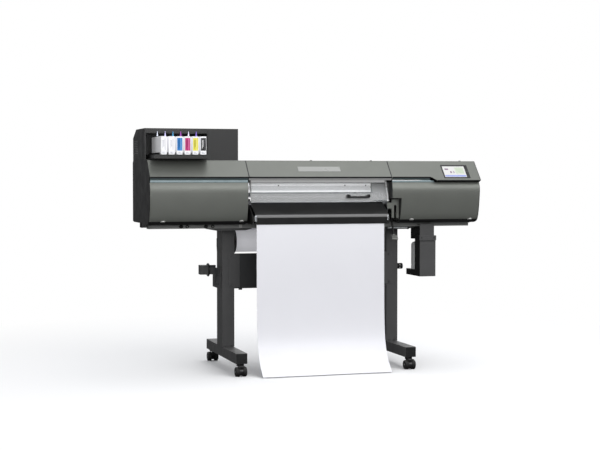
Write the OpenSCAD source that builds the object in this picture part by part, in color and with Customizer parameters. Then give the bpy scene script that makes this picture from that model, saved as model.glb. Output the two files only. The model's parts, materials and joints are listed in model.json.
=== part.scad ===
// Wide-format roll printer and cutter on a castered leg stand.
// +X is the machine's right-hand end seen from the front, -Y is the front, +Z is up.
// The origin is on the floor, at the middle of the whole object's footprint.

/* [Stand] */
// Distance between the centre lines of the two legs
leg_span = 1010; // [860:10:1100]
// How far the stand sits to the right of the body's centre
stand_shift_x = 13.5; // [0:0.5:30]
// Centre line of the feet, front to back
stand_y = 44; // [30:1:60]
// Length of each foot
foot_l = 732; // [620:4:880]
// Width of each foot
foot_w = 66; // [56:1:72]
// Height of each foot
foot_h = 59; // [48:1:72]
// Width of each column
column_w = 72; // [60:1:86]
// Depth of each column
column_d = 135; // [110:1:160]
// Height of each column
column_h = 677.5; // [560:0.5:813]
// Wall of the folded steel feet and columns
steel_t = 3; // [2:0.5:4]
// Width of the plate on top of each column
plate_w = 244; // [200:2:290]
// Depth of the plate on top of each column
plate_d = 250; // [200:2:280]
// Thickness of the plate on top of each column
plate_t = 14; // [11:1:17]
// Height of the panel that ties the columns together
stretcher_h = 201; // [165:1:240]
// Height of that panel's lower edge above the feet
stretcher_lift = 338.5; // [280:0.5:400]
// Depth of the folded stretcher
stretcher_d = 40; // [32:1:48]

/* [Casters] */
// Height from the floor to the underside of the feet
caster_h = 72.5; // [66:0.5:87]
// Radius of the caster wheels
wheel_r = 27; // [23:0.5:30]
// Width of one wheel of a pair
wheel_w = 22; // [18:1:26]
// Distance from a caster's pivot to its axle
caster_trail = 14; // [11:1:18]
// Distance from the pivot to the end of the foot
caster_inset = 35; // [30:1:44]
// Radius of the caster's stem
stem_r = 6; // [5:0.5:7]

/* [Body] */
// Overall width of the body
body_w = 1983; // [1800:1:2380]
// Front-to-back place of the body's rear face
rear_y = 300; // [280:1:360]
// Height of the beam that carries the body
beam_h = 29; // [24:1:35]
// Height of the base pan's front edge
pan_h = 14; // [11:1:17]
// Wall of the moulded covers
skin_t = 3; // [2.5:0.5:3.6]
// Height of the hood's top edge above the stand
hood_top_h = 385; // [370:1:462]
// Front-to-back place of the hood's top edge
hood_top_y = -149; // [-155:1:-140]
// Slant length of the hood
hood_slant = 124; // [103:1:130]
// Extra slant length of the hood below its step at the right
hood_step = 25; // [20:1:30]
// Left edge of the opening front cover
window_left = -424; // [-450:1:-412]
// Right edge of the opening front cover
window_right = 434; // [425:1:460]
// Gap between neighbouring covers
cover_gap = 2; // [1:0.5:3]
// Angle that the front cover opens to
cover_open = 60; // [50:1:65]

/* [Media] */
// Width of the media
media_w = 762; // [610:1:775]
// Middle of the media, left to right
media_x = -12.5; // [-20:0.5:0]
// Thickness of the media
media_t = 1.2; // [0.8:0.1:1.4]
// How far the free edge curls forward on the floor
curl_reach = 136; // [110:1:160]
// Radius of the roll of media
roll_r = 66; // [55:1:72]
// Radius of the roll's core
core_r = 38; // [32:1:45]
// Radius of the flanges that hold the core
flange_r = 74; // [74:1:80]

/* [Ink] */
// Width of the ink cabinet
cabinet_w = 540; // [520:1:550]
// Height of the ink cabinet
cabinet_h = 180; // [165:1:216]
// Number of ink pouches
pouch_count = 6; // [6]
// Width of one pouch
pouch_w = 33; // [28:1:38]
// Height of one pouch
pouch_h = 101; // [85:1:110]
// Length of one pouch
pouch_l = 270; // [230:1:290]
// Distance between neighbouring pouches
pouch_pitch = 44.6; // [42:0.2:46]

/* [Drive] */
// Radius of the feed roller
feed_r = 12; // [10:0.5:14]
// Radius of the pinch rollers
pinch_r = 8; // [7:0.5:9]
// Number of pinch rollers
pinch_count = 9; // [5:1:11]
// Width of the print carriage
carriage_w = 215; // [180:1:240]
// Running clearance of a shaft in its hole
run_fit = 0.05; // [0.02:0.01:0.1]

/* [Waste bottle] */
// Radius of the waste ink bottle
bottle_r = 48; // [40:1:50]
// Height of the waste ink bottle without its neck
bottle_h = 165; // [140:1:185]

/* [Hidden] */
$fn = 48;
eps = 0.5;

// Heights, from the floor up
foot_z = caster_h;
column_z = foot_z + foot_h;
plate_z = column_z + column_h;
deck_z = plate_z + plate_t;
pan_z = deck_z + beam_h;
floor_z = pan_z + pan_h;
hood_top_z = deck_z + hood_top_h;
roof_z = hood_top_z + 2;

// Stand
left_leg_x = stand_shift_x - leg_span / 2;
right_leg_x = stand_shift_x + leg_span / 2;
column_front_y = stand_y - 57;
stretcher_z = column_z + stretcher_lift;
bracket_w = 66;
bracket_overlap = 34;

// Body
left_x = -body_w / 2;
right_x = body_w / 2;
end_t = 4;
slant_a = 47.9;
lip_y = hood_top_y - hood_slant * cos(slant_a);
lip_z = hood_top_z - hood_slant * sin(slant_a);
low_lip_y = hood_top_y - (hood_slant + hood_step) * cos(slant_a);
low_lip_z = hood_top_z - (hood_slant + hood_step) * sin(slant_a);
step_start_x = right_x - 317;
step_end_x = right_x - 275;
beam_front_y = -106;
beam_back_y = stand_y + plate_d / 2;
beam_d = 60;
pan_front_y = -156;
cover_top_z = low_lip_z - 12;
hinge_y = hood_top_y + 9;
hinge_z = hood_top_z - 12;
hinge_r = 4;

// Work space
platen_z = deck_z + 147;
platen_front_y = -130;
platen_back_y = 60;
platen_t = 15;
feed_y = 20;
feed_z = platen_z + 0.6 - feed_r;
media_bottom_z = platen_z + 1;
pinch_z = media_bottom_z + media_t + 0.3 + pinch_r;
pinch_pivot_y = 62;
pinch_pivot_z = platen_z + 34;
lift_y = 100;
lift_z = platen_z + 45;
lift_r = 7;
rail_front_y = 24;
rail_d = 60;
rail_z = platen_z + 55;
rail_h = 55;
frame_t = 5;
left_frame_x = window_left - 12;
right_frame_x = window_right + 8;
carriage_x = right_frame_x + 44;
cutter_w = 68;
cutter_x = window_right - 49;
lever_x = window_right + 37;
shield_left = window_left + 24;
shield_right = window_right - 40;

// Ink
cabinet_z = roof_z;
cabinet_front_y = hood_top_y + 59;
pouch_z = cabinet_z + 30;
pouch_front_y = -246;
bay_left = left_x + 7;
bay_right = bay_left + 352;
bay_back_y = 104;
bay_top = cabinet_z + cabinet_h - 28;
pouch_first_x = bay_left + 72 + (pouch_w - 33) / 2;

// Waste bottle
bottle_x = right_leg_x + 172;
bottle_y = -20;
bottle_z = column_z + 430.5;
holder_w = 2 * bottle_r + 4;

// Roll
roll_y = 244;
roll_z = column_z + 602;
roll_left = media_x - media_w / 2;
roll_right = media_x + media_w / 2;

// Colours
black = [0.13, 0.135, 0.14];
dark = [0.19, 0.2, 0.2];
hood_grey = [0.5, 0.51, 0.48];
cover_grey = [0.36, 0.38, 0.36];
steel = [0.66, 0.67, 0.68];
paper = [0.93, 0.93, 0.95];

// A prism along X with its outline in the YZ plane
module along_x(x0, x1) {
  translate([x0, 0, 0]) rotate([90, 0, 90]) linear_extrude(x1 - x0) children();
}

// A box between two corners
module box(a, b) {
  translate(a) cube(b - a);
}

// A round bar along X
module rod_x(x0, x1, y, z, r) {
  translate([x0, y, z]) rotate([0, 90, 0]) cylinder(h = x1 - x0, r = r);
}

// A round bar along Y
module rod_y(y0, y1, x, z, r) {
  translate([x, y0, z]) rotate([-90, 0, 0]) cylinder(h = y1 - y0, r = r);
}

// Unit normal of the path at point i, pointing to the left of its direction
function unit(v) = v / norm(v);
function left_of(v) = [-v[1], v[0]];
function path_normal(p, i) =
  i == 0 ? unit(left_of(p[1] - p[0])) :
  i == len(p) - 1 ? unit(left_of(p[i] - p[i - 1])) :
  unit(unit(left_of(p[i] - p[i - 1])) + unit(left_of(p[i + 1] - p[i])));

// Mitred distance at a corner, so that the strip keeps its thickness
function path_stretch(p, i) =
  i == 0 || i == len(p) - 1 ? 1 : 1 / max(0.5, path_normal(p, i) * unit(left_of(p[i] - p[i - 1])));

// Closed outline of a sheet of thickness t to the left of the path
function strip(p, t) = concat(p, [for (i = [len(p) - 1 : -1 : 0]) inset(p, t)[i]]);

// The path moved by t to its left
function inset(p, t) = [for (i = [0 : len(p) - 1]) p[i] + path_normal(p, i) * path_stretch(p, i) * t];

// A smooth curve through the points, n steps in each stretch
function curve_point(p0, p1, p2, p3, t) =
  0.5 * (2 * p1 + (p2 - p0) * t + (2 * p0 - 5 * p1 + 4 * p2 - p3) * t * t
  + (3 * p1 - p0 - 3 * p2 + p3) * t * t * t);
function curve(p, n) = concat(
  [for (i = [0 : len(p) - 2], k = [0 : n - 1])
    curve_point(p[max(i - 1, 0)], p[i], p[i + 1], p[min(i + 2, len(p) - 1)], k / n)],
  [p[len(p) - 1]]
);

// Points of an arc, for outlines
function arc(c, r, a0, a1, n) = [
  for (i = [0 : n]) c + r * [cos(a0 + (a1 - a0) * i / n), sin(a0 + (a1 - a0) * i / n)]
];

// Front outline of the end covers, from under the hood down to the beam
cover_path = curve([
  [-219, cover_top_z], [-233, deck_z + 216], [-220, deck_z + 108], [-199, deck_z + 44],
  [-156, deck_z + 24.5], [-112, deck_z + 23]
], 7);

// ---------------------------------------------------------------- stand

module foot(x) {
  y0 = stand_y - foot_l / 2;
  y1 = stand_y + foot_l / 2;
  difference() {
    box([x - foot_w / 2, y0, foot_z], [x + foot_w / 2, y1, foot_z + foot_h]);
    box([x - foot_w / 2 + steel_t, y0 + steel_t, foot_z + 5],
        [x + foot_w / 2 - steel_t, y1 - steel_t, foot_z + foot_h - steel_t]);
    for (end = [-1, 1])
      translate([x, caster_pivot_y(end), foot_z - 1]) cylinder(h = 8, r = stem_r + run_fit);
  }
}

module left_foot() {
  color(dark) foot(left_leg_x);
}

module right_foot() {
  color(dark) foot(right_leg_x);
}

module column(x) {
  difference() {
    box([x - column_w / 2, column_front_y, column_z],
        [x + column_w / 2, column_front_y + column_d, plate_z]);
    box([x - column_w / 2 + steel_t, column_front_y + steel_t, column_z - 1],
        [x + column_w / 2 - steel_t, column_front_y + column_d - steel_t, plate_z + 1]);
  }
}

module left_column() {
  color(dark) column(left_leg_x);
}

module right_column() {
  color(dark) column(right_leg_x);
}

// Plates with chamfered ends that bolt to the beam
module column_top_plates() {
  chamfer = 9;
  for (x = [left_leg_x, right_leg_x])
    color(dark) translate([0, stand_y + plate_d / 2, 0]) rotate([90, 0, 0])
      linear_extrude(plate_d) polygon([
        [x - plate_w / 2 + 4 * chamfer, plate_z], [x + plate_w / 2 - 4 * chamfer, plate_z],
        [x + plate_w / 2, plate_z + chamfer], [x + plate_w / 2, deck_z],
        [x - plate_w / 2, deck_z], [x - plate_w / 2, plate_z + chamfer]
      ]);
}

// Folded panel between the columns, with a bracket at each end
module stretcher() {
  x0 = left_leg_x + column_w / 2;
  x1 = right_leg_x - column_w / 2;
  color(dark) difference() {
    box([x0, column_front_y, stretcher_z], [x1, column_front_y + stretcher_d, stretcher_z + stretcher_h]);
    box([x0 - 1, column_front_y + steel_t, stretcher_z + steel_t],
        [x1 + 1, column_front_y + stretcher_d + 1, stretcher_z + stretcher_h - steel_t]);
  }
  for (x = [x0 - bracket_overlap, x1 + bracket_overlap - bracket_w])
    color(cover_grey) box([x, column_front_y - steel_t, stretcher_z + 8],
      [x + bracket_w, column_front_y, stretcher_z + stretcher_h - 3]);
  color(black) box([x0 + 30, column_front_y + 4, stretcher_z - 9],
    [x0 + 48, column_front_y + 22, stretcher_z]);
}

// Screw heads on the brackets and at the foot of each column
module stand_bolts() {
  bolt_r = 4.5;
  head = 3;
  x0 = left_leg_x + column_w / 2 - bracket_overlap / 2;
  x1 = right_leg_x - column_w / 2 + bracket_overlap / 2;
  for (x = [x0, x1], z = [stretcher_z + 20, stretcher_z + stretcher_h - 14])
    color(steel) rod_y(column_front_y - steel_t - head, column_front_y - steel_t, x, z, bolt_r);
  for (x = [left_leg_x, right_leg_x], side = [-1, 1])
    color(black) rod_y(column_front_y - head, column_front_y, x + side * 17.5, column_z + 8, bolt_r + 1);
}

// ---------------------------------------------------------------- casters
// end is -1 at the front and 1 at the rear; the wheels trail outwards

function caster_pivot_y(end) = stand_y + end * (foot_l / 2 - caster_inset);
function caster_axle_y(end) = caster_pivot_y(end) + end * caster_trail;
hub_w = 18;
axle_r = 4;

module caster_housing(x, end) {
  pivot_y = caster_pivot_y(end);
  axle_y = caster_axle_y(end);
  color(black) difference() {
    union() {
      along_x(x - hub_w / 2, x + hub_w / 2) polygon(concat(
        arc([axle_y, wheel_r], wheel_r - 3, end > 0 ? -60 : 240, end > 0 ? 90 : 90, 14),
        [[pivot_y - end * 22, wheel_r + 24 + 8], [pivot_y - end * 22, wheel_r + 12]]
      ));
      translate([x, pivot_y, wheel_r + 31]) cylinder(h = caster_h - 0.5 - wheel_r - 31, r = 21);
      translate([x, pivot_y, caster_h - 1]) cylinder(h = 19, r = stem_r);
      if (end < 0) box([x - 6, brake_y - 6, wheel_r + 18], [x + 6, brake_y + 6, brake_z + 5]);
    }
    rod_x(x - hub_w, x + hub_w, axle_y, wheel_r, axle_r + run_fit);
    if (end < 0) rod_x(x - hub_w, x + hub_w, brake_y, brake_z, brake_pin_r + run_fit);
  }
}

module caster_wheels(x, end) {
  axle_y = caster_axle_y(end);
  gap = 1;
  color(black) rod_x(x - hub_w / 2 - gap - 1, x + hub_w / 2 + gap + 1, axle_y, wheel_r, axle_r);
  for (side = [-1, 1])
    color(dark) translate([x + side * (hub_w / 2 + gap), axle_y, wheel_r]) rotate([0, side * 90, 0])
      rotate_extrude() polygon([
        [0, 0], [wheel_r - 1.5, 0], [wheel_r, 1.5], [wheel_r, wheel_w - 4], [wheel_r - 4, wheel_w],
        [wheel_r - 8, wheel_w], [wheel_r - 9, wheel_w - 3], [9, wheel_w - 3], [7, wheel_w], [0, wheel_w]
      ]);
}

brake_y = caster_axle_y(-1) - 10;
brake_z = wheel_r + 29;
brake_pin_r = 2;

// Pedal over a front caster; it swings down on a pin through the housing's lug
module caster_brake(x) {
  color(cover_grey) {
    box([x - 16, brake_y - 23, brake_z + 1], [x + 16, brake_y - 8, brake_z + 5]);
    for (side = [-1, 1])
      box([x + side * 7.9 - 1.5, brake_y - 9, brake_z - 4], [x + side * 7.9 + 1.5, brake_y + 4, brake_z + 5]);
    rod_x(x - 9, x + 9, brake_y, brake_z, brake_pin_r);
  }
}

module front_left_caster() {
  caster_housing(left_leg_x, -1);
}

module front_right_caster() {
  caster_housing(right_leg_x, -1);
}

module rear_left_caster() {
  caster_housing(left_leg_x, 1);
}

module rear_right_caster() {
  caster_housing(right_leg_x, 1);
}

module front_left_wheels() {
  caster_wheels(left_leg_x, -1);
}

module front_right_wheels() {
  caster_wheels(right_leg_x, -1);
}

module rear_left_wheels() {
  caster_wheels(left_leg_x, 1);
}

module rear_right_wheels() {
  caster_wheels(right_leg_x, 1);
}

module front_left_brake() {
  caster_brake(left_leg_x);
}

module front_right_brake() {
  caster_brake(right_leg_x);
}

// ---------------------------------------------------------------- body

// Two square tubes that carry the body on the stand's plates
module base_beam() {
  for (y = [beam_front_y, beam_back_y - beam_d])
    color(cover_grey) difference() {
      box([left_x + 17, y, deck_z], [right_x - 19, y + beam_d, pan_z]);
      box([left_x + 16, y + steel_t, deck_z + steel_t],
          [right_x - 18, y + beam_d - steel_t, pan_z - steel_t]);
    }
}

feed_shaft_r = 6;
pinch_shaft_r = 3;
pan_floor_z = pan_z + 3;
seat_gap = 0.2;

// Side frame that carries the feed roller, the pinch shaft and the lift shaft
module side_frame(x) {
  notch_y = pinch_pivot_y - 18;
  difference() {
    along_x(x, x + frame_t) polygon([
      [platen_front_y, pan_floor_z + seat_gap], [lift_y + 30, pan_floor_z + seat_gap],
      [lift_y + 30, rail_z - 1],
      [notch_y, rail_z - 1], [notch_y, platen_z - 2], [platen_front_y, platen_z - 2]
    ]);
    rod_x(x - 1, x + frame_t + 1, feed_y, feed_z, feed_shaft_r + run_fit);
    rod_x(x - 1, x + frame_t + 1, lift_y, lift_z, lift_r + run_fit);
    rod_x(x - 1, x + frame_t + 1, pinch_pivot_y, pinch_pivot_z, pinch_shaft_r + run_fit);
  }
}

// Pan under the mechanism, with the side frames and the rail's end posts
module chassis() {
  color(black) difference() {
    box([left_x + end_t + eps, pan_front_y, pan_z], [right_x - end_t - eps, rear_y - skin_t - eps, floor_z]);
    box([left_x + 20, pan_front_y + 12, pan_floor_z], [right_x - 20, rear_y - 20, floor_z + 1]);
    box([lever_x - 16, pan_front_y - 1, pan_z - 1], [lever_x + 16, -80, floor_z + 1]);
  }
  for (x = [left_frame_x, right_frame_x])
    color(steel) side_frame(x);
  for (x = [left_x + 90, right_x - 96])
    color(steel) box([x, rail_front_y, pan_floor_z + seat_gap], [x + 6, rail_front_y + rail_d, rail_z]);
}

// Outline of the body's ends
body_outline = concat(
  [[hood_top_y, hood_top_z], [lip_y, lip_z], [lip_y + 8, lip_z - 16]],
  cover_path,
  [[14, deck_z + 3], [14, deck_z + 33], [rear_y, deck_z + 33], [rear_y, roof_z - 12], [rear_y - 12, roof_z]],
  [[hood_top_y + 4, roof_z]]
);

module left_end_panel() {
  color(black) along_x(left_x, left_x + end_t) polygon(body_outline);
}

module right_end_panel() {
  color(black) along_x(right_x - end_t, right_x) polygon(concat(
    [[hood_top_y, hood_top_z], [low_lip_y, low_lip_z], [low_lip_y + 20, low_lip_z - 10]],
    cover_path,
    [[14, deck_z + 3], [14, deck_z + 33], [rear_y, deck_z + 33], [rear_y, roof_z - 12],
     [rear_y - 12, roof_z], [hood_top_y + 4, roof_z]]
  ));
}

inner_left = left_x + end_t;
inner_right = right_x - end_t;

// Back wall, with the slot where the media enters and the cut-out for the inlet
module rear_cover() {
  color(black) difference() {
    along_x(inner_left, inner_right) polygon(strip([
      [rear_y, deck_z + 33], [rear_y, roof_z - 12], [rear_y - 12, roof_z], [rear_y - 40, roof_z]
    ], skin_t));
    box([roll_left - 20, rear_y - 10, platen_z - 14], [roll_right + 20, rear_y + 1, platen_z + 22]);
    box([inlet_x - inlet_w / 2, rear_y - 10, inlet_z - inlet_h / 2],
        [inlet_x + inlet_w / 2, rear_y + 1, inlet_z + inlet_h / 2]);
  }
}

module top_cover() {
  color(hood_grey) box([inner_left, hood_top_y + 20, roof_z - skin_t], [inner_right, rear_y - 40, roof_z]);
}

// The hood's section: top edge, slant, lip and its return
function hood_path() = [
  [hood_top_y + 19.5, roof_z], [hood_top_y + 4, roof_z], [hood_top_y, hood_top_z], [lip_y, lip_z],
  [lip_y + 8, lip_z - 16], [lip_y + 20, lip_z - 16]
];

module left_hood() {
  color(hood_grey) along_x(inner_left, window_left - cover_gap) polygon(strip(hood_path(), skin_t));
}

// Outline of the right hood in its own slanted plane, with the S-shaped step in its lower edge
module right_hood() {
  x0 = window_right + cover_gap;
  n = 12;
  s_curve = [for (i = [0 : n]) [
    step_start_x + (step_end_x - step_start_x) * i / n,
    -hood_slant - hood_step * (1 - cos(180 * i / n)) / 2
  ]];
  color(hood_grey) {
    difference() {
      translate([0, hood_top_y, hood_top_z]) rotate([slant_a, 0, 0]) translate([0, 0, -skin_t])
        linear_extrude(skin_t) polygon(concat(
          [[inner_right, 0], [x0, 0], [x0, -hood_slant]], s_curve, [[inner_right, -hood_slant - hood_step]]
        ));
      translate([0, hood_top_y, hood_top_z]) rotate([slant_a, 0, 0])
        box([screen_x - panel_w / 2 + 6, -panel_low + 6, -10],
            [screen_x + panel_w / 2 - 6, -panel_high - 6, 1]);
    }
    along_x(x0, inner_right) polygon([
      [hood_top_y + 19.5, roof_z], [hood_top_y + 4, roof_z], [hood_top_y, hood_top_z],
      [hood_top_y + 2.2, hood_top_z - 2], [hood_top_y + 5, roof_z - skin_t],
      [hood_top_y + 19.5, roof_z - skin_t]
    ]);
    along_x(x0, step_start_x) polygon(strip([
      [lip_y, lip_z], [lip_y + 8, lip_z - 16], [lip_y + 20, lip_z - 16]
    ], skin_t));
    along_x(step_end_x, inner_right) polygon(strip([
      [low_lip_y, low_lip_z], [low_lip_y + 9, low_lip_z - 7], [low_lip_y + 22, low_lip_z - 7]
    ], skin_t));
  }
}

// Middle of the hood: it opens with the window, on two pins near its top edge
module center_hood() {
  x0 = window_left;
  x1 = window_right;
  color(hood_grey) {
    along_x(x0, x1) polygon(strip([
      [hood_top_y, hood_top_z], [lip_y, lip_z], [lip_y + 8, lip_z - 16], [window_top_y, lip_z - 16],
      [window_top_y, lip_z - 30]
    ], skin_t));
    for (x = [x0 + 40, x1 - 64])
      along_x(x, x + 24) polygon(concat(
        [[hood_top_y - 4, hood_top_z - 8]],
        [[hood_top_y - 30, hood_top_z - 40]],
        arc([hinge_y, hinge_z], 8, 270, 400, 10),
        [[hood_top_y + 2, hood_top_z - 4]]
      ));
    for (x = [x0 + 34, x1 - 70]) rod_x(x, x + 36, hinge_y, hinge_z, hinge_r);
  }
}

window_top_y = hood_top_y + 2;
window_top_z = lip_z - 19.5;
window_bottom_y = -186;
window_bottom_z = platen_z + 2;

module clear_window() {
  color([0.8, 0.85, 0.88, 0.4]) along_x(window_left + 22, window_right - 1) polygon(strip(curve([
    [window_top_y, window_top_z], [window_top_y - 8, window_top_z - 40],
    [window_bottom_y + 8, window_bottom_z + 40], [window_bottom_y, window_bottom_z]
  ], 5), -skin_t));
}

// Bar handle on two posts
module window_handle() {
  x0 = 171;
  x1 = 313;
  z = window_bottom_z + 33;
  y = window_bottom_y + 6;
  color(black) {
    box([x0, y - 22, z - 10], [x1, y - 14, z + 10]);
    for (x = [x0, x1 - 12]) box([x, y - 15, z - 8], [x + 12, y - 1, z + 8]);
  }
}

module front_cover_shell(x0, x1) {
  along_x(x0, x1) polygon(strip(cover_path, skin_t));
}

module left_front_cover() {
  color(cover_grey) front_cover_shell(inner_left, left_cover_end);
}

left_cover_end = window_left - 3.5;
right_cover_start = window_right + 5.5;
bracket_bay_w = 57;

// The right cover has a cut-out for the loading lever's bracket
module right_front_cover() {
  color(cover_grey) difference() {
    front_cover_shell(right_cover_start, inner_right);
    box([right_cover_start - 1, -300, deck_z - 10], [right_cover_start + bracket_bay_w, -100, deck_z + 170]);
  }
}

// Black walls that close the inner ends of the two front covers
module cover_end_walls() {
  x1 = right_cover_start + bracket_bay_w;
  for (x = [left_cover_end - skin_t, x1])
    color(black) along_x(x, x + skin_t) intersection() {
      polygon(concat(inset(cover_path, skin_t + 0.3), [[-112, cover_top_z]]));
      translate([-300, floor_z + 1]) square([135, 600]);
    }
}

// ---------------------------------------------------------------- control panel
panel_w = 166;
panel_high = 30;
panel_low = 132;
screen_inset = 146;
screen_x = right_x - screen_inset;
screen_w = 144;
screen_h = 78;
panel_t = 9;

module on_slant() {
  translate([0, hood_top_y, hood_top_z]) rotate([slant_a, 0, 0]) children();
}

// Bezel set into the right hood
module control_panel() {
  color(black) on_slant() difference() {
    union() {
      box([screen_x - panel_w / 2, -panel_low, 0], [screen_x + panel_w / 2, -panel_high, 3]);
      box([screen_x - panel_w / 2 + 7, -panel_low + 7, -panel_t],
          [screen_x + panel_w / 2 - 7, -panel_high - 7, 0]);
    }
    box([screen_x - screen_w / 2, -panel_low + 12, 0.5],
        [screen_x + screen_w / 2, -panel_low + 12 + screen_h, 4]);
  }
}

module touch_screen() {
  color([0.85, 0.9, 0.95]) on_slant()
    box([screen_x - screen_w / 2, -panel_low + 12, 0.5],
        [screen_x + screen_w / 2, -panel_low + 12 + screen_h, 2.2]);
}

// ---------------------------------------------------------------- media path

// Folded shield under the window; the media comes out beneath its lip
module uv_shield() {
  front_y = -284;
  color(black) along_x(shield_left, shield_right) polygon(strip(concat(
    [[-160, window_bottom_z - 2], [-178, window_bottom_z - 2]],
    [[front_y + 6, deck_z + 80]],
    arc([front_y + 14, deck_z + 66], 16, 150, 190, 4),
    [[front_y, deck_z + 25]]
  ), skin_t));
}

// Flat bed with a slot for the feed roller and a curved guide down its front
module platen() {
  x0 = left_frame_x + frame_t;
  x1 = right_frame_x;
  color(steel) difference() {
    box([x0, platen_front_y, platen_z - platen_t], [x1, platen_back_y, platen_z]);
    box([x0 - 1, feed_y - feed_r - 1, feed_z - 40], [x1 + 1, feed_y + feed_r + 1, platen_z + 1]);
    box([x0 + 1, platen_front_y + 2, platen_z - platen_t - 1], [x1 - 1, feed_y - feed_r - 4, platen_z - 3]);
    box([x0 + 1, feed_y + feed_r + 4, platen_z - platen_t - 1], [x1 - 1, platen_back_y - 2, platen_z - 3]);
  }
  color(steel) along_x(shield_left + 6, shield_right - 6) polygon(strip([
    [platen_front_y - 0.5, platen_z], [platen_front_y - 20, platen_z - 4], [-268, deck_z + 70],
    [-276, deck_z + 50], [-276, deck_z + 34]
  ], 2));
}

module feed_roller() {
  x0 = left_frame_x;
  x1 = right_frame_x;
  color(steel) {
    rod_x(x0 + frame_t + 10, x1 - 10, feed_y, feed_z, feed_r);
    rod_x(x0 - 14, x1 + frame_t + 14, feed_y, feed_z, feed_shaft_r);
  }
  color(black) rod_x(x0 - 14, x0 - 4, feed_y, feed_z, 18);
}

module pinch_rollers() {
  first = roll_left + 20;
  pitch = (media_w - 60) / (pinch_count - 1);
  for (i = [0 : pinch_count - 1]) {
    x = first + i * pitch;
    color(black) rod_x(x, x + 20, feed_y, pinch_z, pinch_r);
    color(dark) along_x(x + 6, x + 14) polygon(concat(
      arc([feed_y, pinch_z], 4, 90, 270, 6),
      [[pinch_pivot_y, pinch_pivot_z - 5], [lift_y + 4, lift_z - 12], [lift_y + 4, lift_z - 9],
       [pinch_pivot_y, pinch_pivot_z + 6]]
    ));
  }
  color(steel)
    rod_x(left_frame_x - 6, right_frame_x + frame_t + 6, pinch_pivot_y, pinch_pivot_z, pinch_shaft_r);
}

// Lever on the end of the lift shaft
module loading_lever() {
  color(steel) rod_x(left_frame_x - 6, lever_x + 8, lift_y, lift_z, lift_r);
  color(black) along_x(lever_x - 4.5, lever_x + 4.5) polygon(strip([
    [lift_y + 4, lift_z - 4], [-108, deck_z + 70], [-126, deck_z + 40],
    [-158, deck_z - 46], [-166, deck_z - 66]
  ], -10));
  color(cover_grey) along_x(lever_x - 18, lever_x + 18) polygon([
    [-156, deck_z - 46], [-184, deck_z - 52], [-192, deck_z - 72], [-186, deck_z - 77], [-164, deck_z - 76]
  ]);
}

module lever_bracket() {
  y = -191;
  x0 = right_cover_start + 8.5;
  color(cover_grey) difference() {
    union() {
      box([x0, y, deck_z + 54], [x0 + 46, y + 2, deck_z + 164]);
      box([x0 - 26, y, deck_z + 108], [x0, y + 2, deck_z + 143]);
      box([x0 + 44, y, floor_z + 1], [x0 + 46, y + 40, deck_z + 164]);
      box([x0 + 30, y + 38, floor_z], [x0 + 46, y + 58, floor_z + 2]);
      box([x0 + 44, y + 38, floor_z], [x0 + 46, y + 58, floor_z + 40]);
    }
    box([lever_x - 7.5, y - 1, deck_z + 50], [lever_x + 7.5, y + 3, deck_z + 128]);
  }
}

// ---------------------------------------------------------------- carriages

module guide_rail() {
  color(steel) difference() {
    box([left_x + 90, rail_front_y, rail_z], [right_x - 90, rail_front_y + rail_d, rail_z + rail_h]);
    box([left_x + 89, rail_front_y + 5, rail_z + 5],
        [right_x - 89, rail_front_y + rail_d - 5, rail_z + rail_h - 5]);
    box([left_x + 89, rail_front_y - 1, rail_z + 20], [right_x - 89, rail_front_y + 3, rail_z + 36]);
  }
}

carriage_front_y = -115;
carriage_bottom = platen_z + 14;
carriage_top = rail_z + rail_h + 4;

module print_carriage() {
  x0 = carriage_x;
  color(dark) {
    difference() {
      box([x0, carriage_front_y, carriage_bottom], [x0 + carriage_w, -4, carriage_top]);
      box([x0 + 4, carriage_front_y + 4, carriage_bottom + 30], [x0 + carriage_w - 4, -8, carriage_top + 1]);
    }
    box([x0 + 10, -4, rail_z + 22], [x0 + carriage_w - 10, rail_front_y + 2.5, rail_z + 34]);
  }
  for (i = [0 : 3])
    color(steel) box([x0 + 34 + i * 40, carriage_front_y + 20, carriage_bottom - 8],
      [x0 + 60 + i * 40, -24, carriage_bottom]);
}

module cutting_carriage() {
  x0 = cutter_x;
  color(hood_grey) difference() {
    union() {
      box([x0, carriage_front_y + 20, carriage_bottom + 6], [x0 + cutter_w, -4, carriage_top]);
      box([x0 + 8, -4, rail_z + 22], [x0 + cutter_w - 8, rail_front_y + 2.5, rail_z + 34]);
      box([x0 + cutter_w, -60, rail_z + 10], [x0 + cutter_w + 14, -30, rail_z + 26]);
    }
    translate([x0 + cutter_w / 2, -60, 0]) cylinder(h = 2000, r = blade_r + run_fit);
  }
}

blade_r = 9;
blade_lift = 9;

module blade_holder() {
  color(steel) translate([cutter_x + cutter_w / 2, -60, 0]) {
    translate([0, 0, carriage_bottom + 3]) 
      cylinder(h = carriage_top + blade_lift - carriage_bottom - 3, r = blade_r);
    translate([0, 0, carriage_bottom - 3]) cylinder(h = 6, r = 5);
    translate([0, 0, carriage_top + blade_lift]) cylinder(h = 6, r = blade_r + 3);
  }
}

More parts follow.
